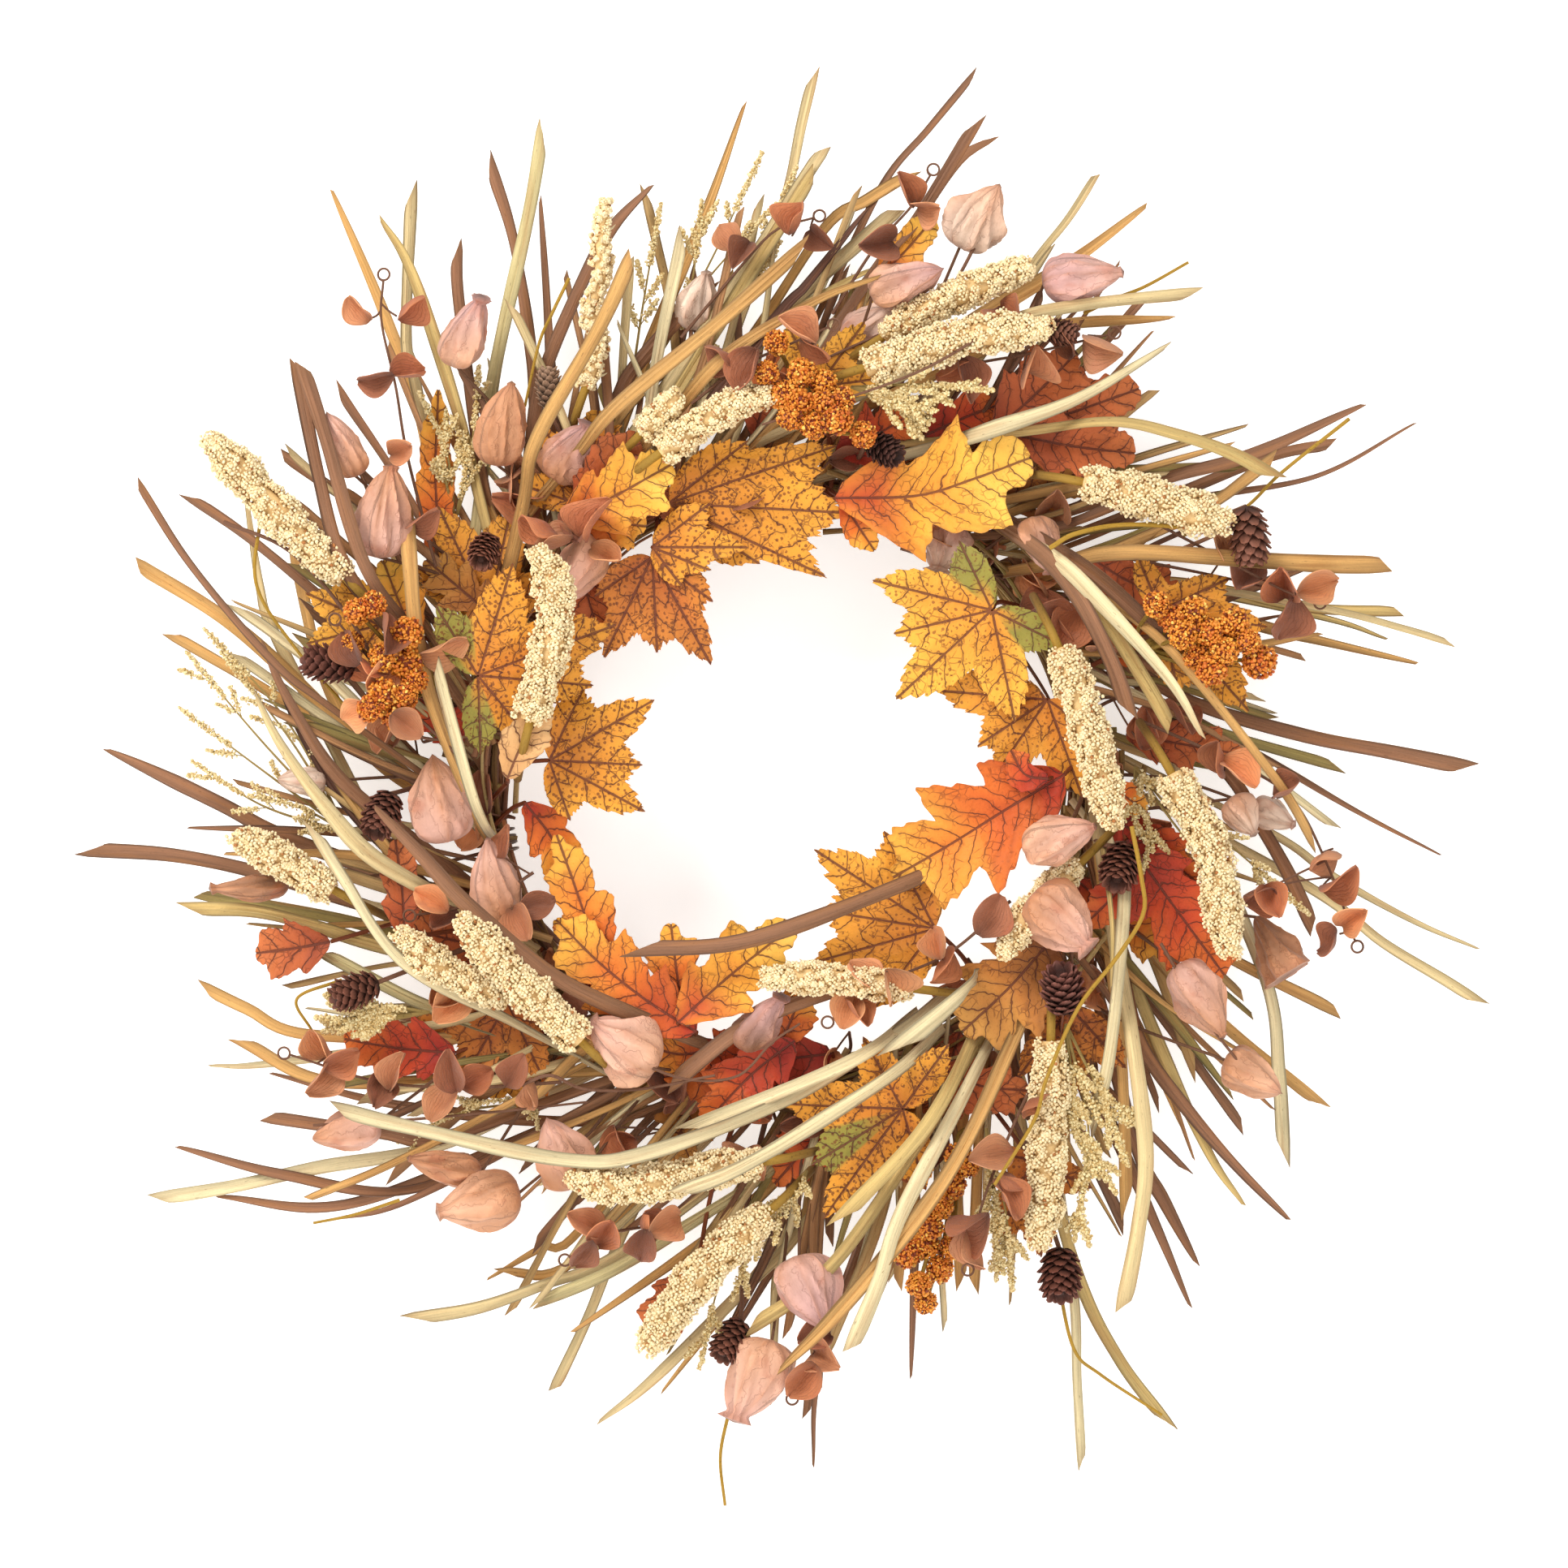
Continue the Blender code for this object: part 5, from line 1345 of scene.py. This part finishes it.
CONES = [  # name, x, z, length, width, heading, depth, tone, pitch
    ("upper_left", -128, 98, 16, 14, 250, 64, (92, 54, 40), 50),
    ("left", -194, 49, 21, 17, 170, 70, (84, 48, 38), 15),
    ("left_low", -172, -14, 19, 17, 250, 62, (90, 54, 42), 30),
    ("lower_left", -183, -90, 20, 16, 200, 66, (88, 52, 40), 20),
    ("right_high", 197, 104, 24, 18, 276, 74, (96, 58, 44), 0),
    ("right", 143, -36, 20, 18, 250, 72, (86, 50, 38), 40),
    ("lower_right", 118, -91, 20, 19, 100, 72, (90, 54, 46), 30),
    ("low_right", 117, -210, 21, 19, 270, 66, (80, 44, 34), 30),
    ("bottom", -23, -239, 18, 16, 240, 60, (88, 52, 40), 30),
    ("inner_top", 41, 141, 16, 14, 330, 68, (60, 36, 30), 30),
    ("top_left", -102, 168, 17, 12, 90, 46, (130, 104, 84), 10),
    ("top_right", 116, 191, 16, 12, 350, 64, (98, 62, 48), 20),
]

# ---------------------------------------------------------------- leaves

YELLOW = ((222, 140, 40), (244, 178, 62), (206, 132, 44))
AMBER = ((206, 122, 34), (236, 162, 50), (190, 112, 36))
RUSTY = ((178, 92, 34), (214, 132, 48), (150, 76, 30))

MAPLES = [  # name, junction, tips, depth, tones, speckled, olive lobes, curl, tilt if it leans
    ("top", (-50, 118), [(-16, 145), (22, 143), (28, 114), (17, 87), (-11, 92)], 58, AMBER, 1, (), -0.15),
    ("top_inner", (-57, 99), [(-32, 118), (-16, 99), (-32, 89), (-44, 82)], 62, AMBER, 1, (), -0.1,
     (0.05, 0.0)),
    ("inner_upper", (-57, 95), [(-31, 76), (-32, 49), (-55, 54), (-78, 52), (-82, 78)], 60, RUSTY, 1,
     (), -0.2, (0.0, 0.05)),
    ("left_high", (-131, 44), [(-149, 74), (-116, 92), (-72, 66), (-82, 40), (-108, 16),
     (-130, 10)], 68, AMBER, 1, (0, 5), -0.1, (0.0, 0.05)),
    ("left", (-101, 8), [(-86, 40), (-56, 34), (-61, 6), (-60, -14), (-92, -18)], 60, AMBER, 1, (), -0.2),
    ("left_outer", (-174, 66), [(-194, 90), (-206, 80), (-206, 58), (-188, 44)], 52, YELLOW, 0, (), 0.1),
    ("right_inner", (88, 72), [(74, 102), (37, 85), (46, 62), (47, 34), (98, 24),
     (118, 57)], 66, YELLOW, 0, (0, 5), -0.15, (0.06, 0.0)),
    ("right_low", (112, 34), [(64, 38), (82, 14), (88, -1), (127, -8), (141, 14)], 58, AMBER, 0,
     (), -0.1),
    ("right_outer", (160, 72), [(150, 96), (190, 86), (206, 65), (198, 29), (168, 36)], 62, AMBER, 1,
     (), -0.15),
    ("inner_low", (64, -64), [(42, -22), (12, -30), (14, -56), (10, -79), (38, -98)], 60, AMBER, 0,
     (), -0.1),
    ("bottom", (50, -141), [(70, -113), (33, -110), (-2, -139), (11, -165), (16, -188),
     (60, -176)], 60, AMBER, 1, (3,), -0.1),
    ("lower_right", (122, -98), [(104, -100), (100, -128), (122, -140), (146, -124)], 50, RUSTY, 1,
     (), 0.0),
    ("low_right", (106, -164), [(88, -160), (90, -200), (110, -206), (132, -176)], 46, RUSTY, 1, (), 0.0),
    ("top_berry", (14, 168), [(0, 196), (34, 196), (44, 172)], 56, YELLOW, 0, (), 0.1),
    ("back_left", (-128, 72), [(-160, 92), (-150, 118), (-118, 118), (-96, 86)], 40, AMBER, 0, (), -0.1),
    ("back_low_left", (-120, -96), [(-150, -84), (-166, -112), (-140, -132),
     (-104, -130)], 40, RUSTY, 0, (), 0.0),
    ("top_left_fill", (-88, 118), [(-118, 128), (-104, 152), (-72, 150)], 44, AMBER, 1, (), 0.0),
]

OAKS = [  # name, places from base to tip, width, depth, tones, lobes, curl, plain, tilt if it leans
    ("top_right", [(21, 120), (56, 121), (80, 128), (104, 137)], 54, 62, SUN, 2.6, -0.1, 0.0,
     (0.05, 0.0)),
    ("top_right_tip", [(24, 120), (30, 110), (38, 98)], 15, 58, FIRE, 1.2, -0.2, 0.6),
    ("upper_right_a", [(90, 150), (106, 164), (124, 182)], 36, 50, RUST, 2.4, 0.1, 0.3),
    ("upper_right_b", [(92, 148), (124, 158), (152, 168)], 34, 46, RUST, 2.6, -0.1, 0.3),
    ("upper_right_c", [(98, 148), (124, 143), (150, 140)], 32, 48, RUST, 2.6, -0.1, 0.2),
    ("upper_right_d", [(60, 148), (78, 156), (94, 162)], 24, 44, BLAZE, 2.2, 0.0, 0.3),
    ("top_left", [(-94, 112), (-74, 120), (-49, 134)], 36, 68, SUN, 2.6, -0.1, 0.25),
    ("top_left_low", [(-94, 112), (-78, 110), (-60, 108)], 26, 64, FIRE, 2.4, -0.1, 0.2),
    ("top_left_up", [(-88, 112), (-78, 130), (-64, 148)], 24, 58, RUST, 2.0, 0.0, 0.5),
    ("right", [(119, 2), (94, -13), (70, -28), (46, -42)], 54, 66, FIRE, 3.2, -0.1, 0.0),
    ("right_red", [(112, 0), (102, 2), (96, 12)], 14, 70, BLAZE, 1.2, 0.0, 0.6),
    ("far_right", [(146, -26), (166, -54), (188, -84)], 40, 56, BLAZE, 2.8, -0.1, 0.1),
    ("far_right_in", [(138, -14), (156, -28), (176, -44)], 26, 52, BLAZE, 2.4, 0.0, 0.2),
    ("right_small", [(136, -2), (146, -8), (154, -14)], 13, 60, FIRE, 1.2, 0.2, 0.7),
    ("right_under", [(148, -40), (140, -50), (128, -62)], 18, 62, BLAZE, 1.6, 0.0, 0.5),
    ("lower_right", [(116, -66), (97, -88), (76, -108)], 46, 56, UMBER, 3.2, -0.1, 0.1),
    ("lower_left_a", [(-76, -100), (-80, -77), (-89, -49), (-98, -24)], 28, 60, FIRE, 3.2, -0.1, 0.2),
    ("lower_left_b", [(-38, -108), (-60, -94), (-80, -78), (-98, -60)], 36, 64, FIRE, 3.2, -0.1, 0.1),
    ("bottom_up", [(-42, -108), (-46, -86), (-49, -62)], 26, 62, FIRE, 2.4, -0.1, 0.0),
    ("bottom_right", [(-46, -104), (-24, -84), (3, -63)], 36, 66, SUN, 2.6, -0.1, 0.1),
    ("bottom", [(4, -112), (-14, -126), (-34, -147)], 32, 56, BLAZE, 2.8, 0.0, 0.2),
    ("bottom_in", [(-4, -116), (2, -104), (8, -88)], 20, 54, FIRE, 1.6, 0.0, 0.6),
    ("bottom_left_in", [(-28, -114), (-44, -118), (-62, -114)], 20, 52, FIRE, 2.2, 0.0, 0.3),
    ("bottom_wide", [(20, -118), (-12, -122), (-52, -128)], 34, 46, BLAZE, 3.2, 0.0, 0.2),
    ("left", [(-163, -68), (-164, -48), (-167, -26)], 20, 58, RUST, 2.2, 0.0, 0.3),
    ("left_outer", [(-196, -70), (-212, -73), (-228, -75)], 26, 42, RUST, 2.2, 0.0, 0.3),
    ("lower_left", [(-142, -118), (-166, -116), (-190, -112)], 32, 42, BLAZE, 2.8, 0.0, 0.2),
    ("low_left", [(-38, -210), (-48, -224), (-60, -238)], 24, 50, RUST, 2.2, 0.0, 0.3),
    ("upper_left", [(-158, 58), (-166, 76), (-173, 94)], 24, 48, SUN, 2.2, 0.0, 0.3),
    ("upper_left_far", [(-146, 84), (-151, 124), (-150, 168)], 18, 36, FIRE, 3.2, 0.0, 0.5),
    ("top", [(40, 216), (52, 228), (64, 242)], 18, 40, SUN, 1.8, 0.0, 0.4),
    ("left_peach", [(-118, 0), (-112, 14), (-101, 31)], 20, 80, PEACHY, 1.6, 0.0, 0.6),
    ("left_inner_low", [(-84, 100), (-86, 84), (-80, 62)], 28, 52, RUST, 2.0, 0.0, 0.5),
    ("left_in", [(-112, -10), (-100, -26), (-94, -44)], 24, 50, FIRE, 2.2, 0.0, 0.2),
    ("right_fill", [(130, 96), (150, 84), (176, 76)], 26, 44, RUST, 2.6, 0.0, 0.2),
    ("bottom_right_low", [(66, -124), (84, -132), (104, -134)], 26, 44, RUST, 2.4, 0.0, 0.2),
]

TENDRILS = [  # tone (y ochre, t twig), radius, depth, places
    ("y", 0.85, 60, [(-224, 115), (-226, 83), (-209, 55), (-189, 32)]),
    ("y", 0.8, 56, [(-190, -86), (-209, -94), (-203, -108)]),
    ("y", 0.85, 60, [(116, -212), (123, -243), (135, -255), (161, -272)]),
    ("y", 0.9, 50, [(-20, -250), (-24, -270), (-28, -291), (-26, -312)]),
    ("y", 0.9, 50, [(128, 200), (141, 206), (155, 212), (173, 222)]),
    ("y", 0.9, 60, [(241, 154), (212, 131), (195, 115), (170, 104)]),
    ("y", 1.1, 80, [(112, 98), (123, 104), (145, 108), (180, 106)]),
    ("y", 1.0, 92, [(146, -20), (150, -42), (151, -57), (140, -75), (123, -97), (110, -127),
     (105, -144), (88, -171)]),
    ("y", 0.8, 50, [(-93, 215), (-100, 200), (-106, 187), (-112, 160)]),
    ("y", 0.8, 60, [(-165, -180), (-184, -186), (-202, -190)]),
    ("t", 0.8, 58, [(81, 228), (72, 212), (60, 200), (15, 179)]),
    ("t", 0.8, 66, [(160, -70), (179, -102), (196, -124)]),
    ("t", 0.7, 74, [(-69, -114), (-58, -122), (-40, -128), (-20, -126), (-6, -112), (6, -104)]),
    ("t", 0.8, 70, [(-112, -130), (-100, -126), (-86, -132), (-62, -132), (-30, -126)]),
    ("t", 0.9, 62, [(-240, 110), (-210, 96), (-182, 62), (-160, 20), (-120, 20)]),
    ("t", 0.7, 60, [(-202, -148), (-168, -146), (-120, -142), (-84, -138)]),
    ("t", 0.8, 64, [(126, -60), (122, -76), (126, -92)]),
    ("t", 0.7, 66, [(160, 108), (190, 92), (214, 80), (226, 76)]),
    ("t", 0.7, 84, [(96, 196), (60, 174), (22, 160), (-10, 150)]),
]


# ---------------------------------------------------------------- the wreath

core, loose = build_ring()
keep("ring_bundle", core, BARK, "ring_stems")
keep("ring_loose_stems", loose, BARK, "ring_stems")
for node in ("binding_wire_left", "binding_wire_right"):
    keep(node.replace("binding_wire", "binding_coil"), build_binding(node), BINDING, "wire")

build_blades()

# Small leaves and short stems tucked between the reeds all the way round.
SPOTS, SECTORS, TUCKED_OAKS = 66, 6, 14
bits, bit_twigs = [Shape() for _ in range(SECTORS)], Shape()
for k in range(SPOTS):
    a = math.radians(k * 360 / SPOTS + RANDOM.uniform(-3, 3))
    r = RANDOM.uniform(122, 178)
    x, z, low = r * math.cos(a), r * math.sin(a), RANDOM.uniform(22, 46)
    hub = at((r - 12) * math.cos(a + 0.1), (r - 12) * math.sin(a + 0.1), low - 6)
    tone, edge_tone = CUP_TONES[k % 4]
    for part in range(RANDOM.integers(1, 3)):
        heading = math.degrees(a) - 50 + 100 * part + RANDOM.uniform(-40, 40)
        size, seed = RANDOM.uniform(11, 17), 900 + 3 * k + part
        bit = bits[k * SECTORS // SPOTS]
        cup_leaf(bit, bit_twigs, x, z, heading, size, low + 3 * part, tone, edge_tone, seed, 0.5, hub)
    curved_stem(bit_twigs, hub, ring_point(hub[0], hub[2], -4), 0.7, TWIG)
for k, shape in enumerate(bits):
    keep(f"tucked_leaves_{k}", shape, SHELL, "pod")
keep("tucked_stems", bit_twigs, BARK, "pod")
for k in range(TUCKED_OAKS):
    a = math.radians(k * 360 / TUCKED_OAKS + RANDOM.uniform(-8, 8))
    lean, r, reach = a - RANDOM.uniform(0.2, 1.0), RANDOM.uniform(128, 150), RANDOM.uniform(36, 54)
    start, way = (r * math.cos(a), r * math.sin(a)), (math.cos(lean), math.sin(lean))
    places = [(start[0] + way[0] * reach * f, start[1] + way[1] * reach * f) for f in (0, 0.5, 1)]
    tones = (RUST, FIRE, UMBER, BLAZE)[k % 4]
    width, depth, curl = RANDOM.uniform(22, 30), RANDOM.uniform(30, 46), RANDOM.uniform(-0.3, 0.5)
    leaf = oak(places, 300 + k, width, depth, tones, 3.5, curl)
    keep(f"tucked_oak_{k}", leaf, OAK, "oak_leaf")

stems = Shape()
for name, width, depth, places in SPIKES:
    s = np.linspace(0, 1, len(places))
    head, stem = spike(name, [at(x, z, depth + 5 - 9 * k) for (x, z), k in zip(places, s)], width)
    keep("seed_head_" + name, head, SEED, "seed_head")
    keep("seed_head_stem_" + name, stem, BARK, "seed_head")

for name, depth, base, tips, size, dense in SPRAYS:
    seeds, twigs = Shape(), Shape()
    spray(seeds, twigs, base, tips, depth, size, dense)
    keep("fine_seeds_" + name, seeds, GOLD_SEED, "seed_head")
    keep("fine_stems_" + name, twigs, BARK, "seed_head")

for seed, (name, *place, tone, tip_tone, pitch) in enumerate(LANTERNS):
    shape = Shape()
    lantern(shape, stems, *place, tone, tip_tone, seed + 3, pitch, name == "open_right")
    keep("lantern_" + name, shape, PAPER, "pod")

for seed, (name, depth, wire, leaves) in enumerate(CUPS):
    shape, twig = Shape(), Shape()
    path = smooth_path([at(x, z, depth - 8 + 2 * k) for k, (x, z) in enumerate(wire)], 40)
    tube(twig, path, np.linspace(0.75, 0.5, 40), linear(TWIG), 6)
    end, way = path[-1], unit(path[-1] - path[-3])
    turn = np.linspace(0, 2 * np.pi * 1.15, 22)[:, None]
    side = np.cross(way, [0.0, -1.0, 0.0])
    loop = end + way * 2.6 - 2.6 * (way * np.cos(turn) + side * np.sin(turn)) - np.array([0, 0.5, 0]) * turn
    tube(twig, loop, 0.5, linear(TWIG), 5)
    for k, (x, z, heading, size, tone) in enumerate(leaves):
        hub = path[np.argmin(np.linalg.norm((path - at(x, z, depth))[:, [0, 2]], axis=1))]
        low, cup = depth + 4 * (k % 3) - 2, 0.4 + 0.12 * (k % 3)
        cup_leaf(shape, twig, x, z, heading, size, low, *CUP_TONES[tone], seed * 20 + k, cup, hub)
    keep("cup_leaves_" + name, shape, SHELL, "pod")
    keep("cup_twig_" + name, twig, BARK, "ring_stems")

for name, (depth, root, balls) in BERRIES.items():
    shape, twig = Shape(), Shape()
    berries(shape, twig, balls, depth, root)
    keep("berries_" + name, shape, BERRY, "berry")
    keep("berry_twig_" + name, twig, BARK, "berry")

for seed, (name, x, z, length, width, heading, depth, tone, pitch) in enumerate(CONES):
    shape = Shape()
    cone(shape, x, z, length, width, heading, depth, tone, seed, pitch)
    axis, _, _ = axes(heading, pitch, 0)
    start = at(x, z, depth) - axis * length / 2
    curved_stem(stems, start, ring_point(start[0], start[2], 3), 1.0, TWIG)
    keep("cone_" + name, shape, CONE, "cone")

for seed, (name, junction, tips, depth, tones, speckled, *bend) in enumerate(MAPLES):
    shape = maple(junction, tips, depth, tones, seed + 1, *bend)
    keep("maple_" + name, shape, MAPLE_DARK if speckled else MAPLE, "maple_leaf")
    curved_stem(stems, at(*junction, depth - 1), ring_point(*junction, -4), 0.9, LEAF_STEM)

for seed, (name, places, width, depth, *look) in enumerate(OAKS):
    shape = oak(places, seed + 1, width, depth, *look)
    keep("oak_" + name, shape, OAK, "oak_leaf")
    curved_stem(stems, at(*places[0], depth - 1), ring_point(*places[0], 4), 0.9, LEAF_STEM)

tendrils = Shape()
for tone, radius, depth, places in TENDRILS:
    path = smooth_path([at(x, z, depth + 3 * math.sin(k * 2)) for k, (x, z) in enumerate(places)], 44)
    tube(tendrils, path, np.linspace(radius, radius * 0.75, 44), linear(OCHRE if tone == "y" else TWIG), 7)
keep("tendrils", tendrils, BARK, "ring_stems")
keep("pick_stems", stems, BARK, "ring_stems")

# Every CAD solid is hidden but the hanger, which stays, with a better wire.
for node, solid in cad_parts.items():
    if node in ("hanging_loop", "hanger_link"):
        for slot in solid.material_slots:
            slot.material = WIRE
        continue
    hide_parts(node)


# ---------------------------------------------------------------- stage, light and camera


def plane(name, corners, material):
    """A four-cornered surface of the stage."""
    mesh = bpy.data.meshes.new(name)
    mesh.from_pydata(corners, [], [(0, 1, 2, 3)])
    mesh.materials.append(material)
    obj = bpy.data.objects.new(name, mesh)
    bpy.context.scene.collection.objects.link(obj)
    return obj


def plaster(name, see_through):
    """Pale painted wall or floor. The wall can be seen only from the front."""
    p = Paint(name, Roughness=0.9, Specular_IOR_Level=0.1, Emission_Strength=0.45)
    p.shader.inputs["Emission Color"].default_value = (1, 1, 1, 1)
    grain = p.noise(p.place(), 0.05, 3.0)
    p.finish(p.lit(p.vector(0.93, 0.925, 0.915), p.scaled(grain, 0.99, 1.01)))
    if see_through:
        back = p.node("ShaderNodeNewGeometry").outputs["Backfacing"]
        mix, clear = p.node("ShaderNodeMixShader"), p.node("ShaderNodeBsdfTransparent")
        p.tree.links.new(back, mix.inputs[0])
        p.tree.links.new(p.shader.outputs[0], mix.inputs[1])
        p.tree.links.new(clear.outputs[0], mix.inputs[2])
        p.tree.links.new(mix.outputs[0], p.tree.nodes["Material Output"].inputs["Surface"])
    return p.material


X, Y, Z = ORIGIN
WALL_Y = Y + 0.014
FLOOR_Z = Z - 0.36
wall = plane(
    "backdrop_wall",
    [(X + x, WALL_Y, FLOOR_Z + z) for x, z in ((-3, 0), (3, 0), (3, 4), (-3, 4))],
    plaster("wall_plaster", True),
)
for ray in ("diffuse", "glossy", "transmission", "shadow"):
    setattr(wall, "visible_" + ray, False)
plane(
    "pale_floor",
    [(X + x, WALL_Y + y, FLOOR_Z) for x, y in ((-4, -5), (4, -5), (4, 4), (-4, 4))],
    plaster("floor_plaster", False),
)

scene = bpy.context.scene
scene.view_settings.view_transform = "Standard"
scene.view_settings.look = "None"
world = bpy.data.worlds.new("soft_white")
world.use_nodes = True
world.node_tree.nodes["Background"].inputs[0].default_value = (1.0, 0.99, 0.975, 1)
world.node_tree.nodes["Background"].inputs[1].default_value = 0.66
scene.world = world


def area(name, place, target, size, energy, colour):
    """A square light at a place, turned to its target."""
    light = bpy.data.lights.new(name, "AREA")
    light.shape, light.size, light.energy, light.color = "SQUARE", size, energy, colour
    obj = bpy.data.objects.new(name, light)
    obj.location = place
    way = np.array(target, float) - np.array(place, float)
    obj.rotation_euler = Vector(way).to_track_quat("-Z", "Y").to_euler()
    scene.collection.objects.link(obj)


area("key", (X - 1.1, Y - 1.7, Z + 1.5), (X, Y, Z), 1.1, 46, (1, 0.985, 0.96))
area("fill", (X + 1.6, Y - 2.2, Z + 0.3), (X, Y, Z), 1.8, 9, (1, 1, 1))

camera = bpy.data.cameras.new("photo_view")
camera.sensor_width = 36
camera.lens = 127.8
view = bpy.data.objects.new("photo_view", camera)
view.location = (X - 0.0007, Y - 0.040 - 2.4, Z - 0.0021)
view.rotation_euler = (math.pi / 2, 0, 0)
scene.collection.objects.link(view)
scene.camera = view
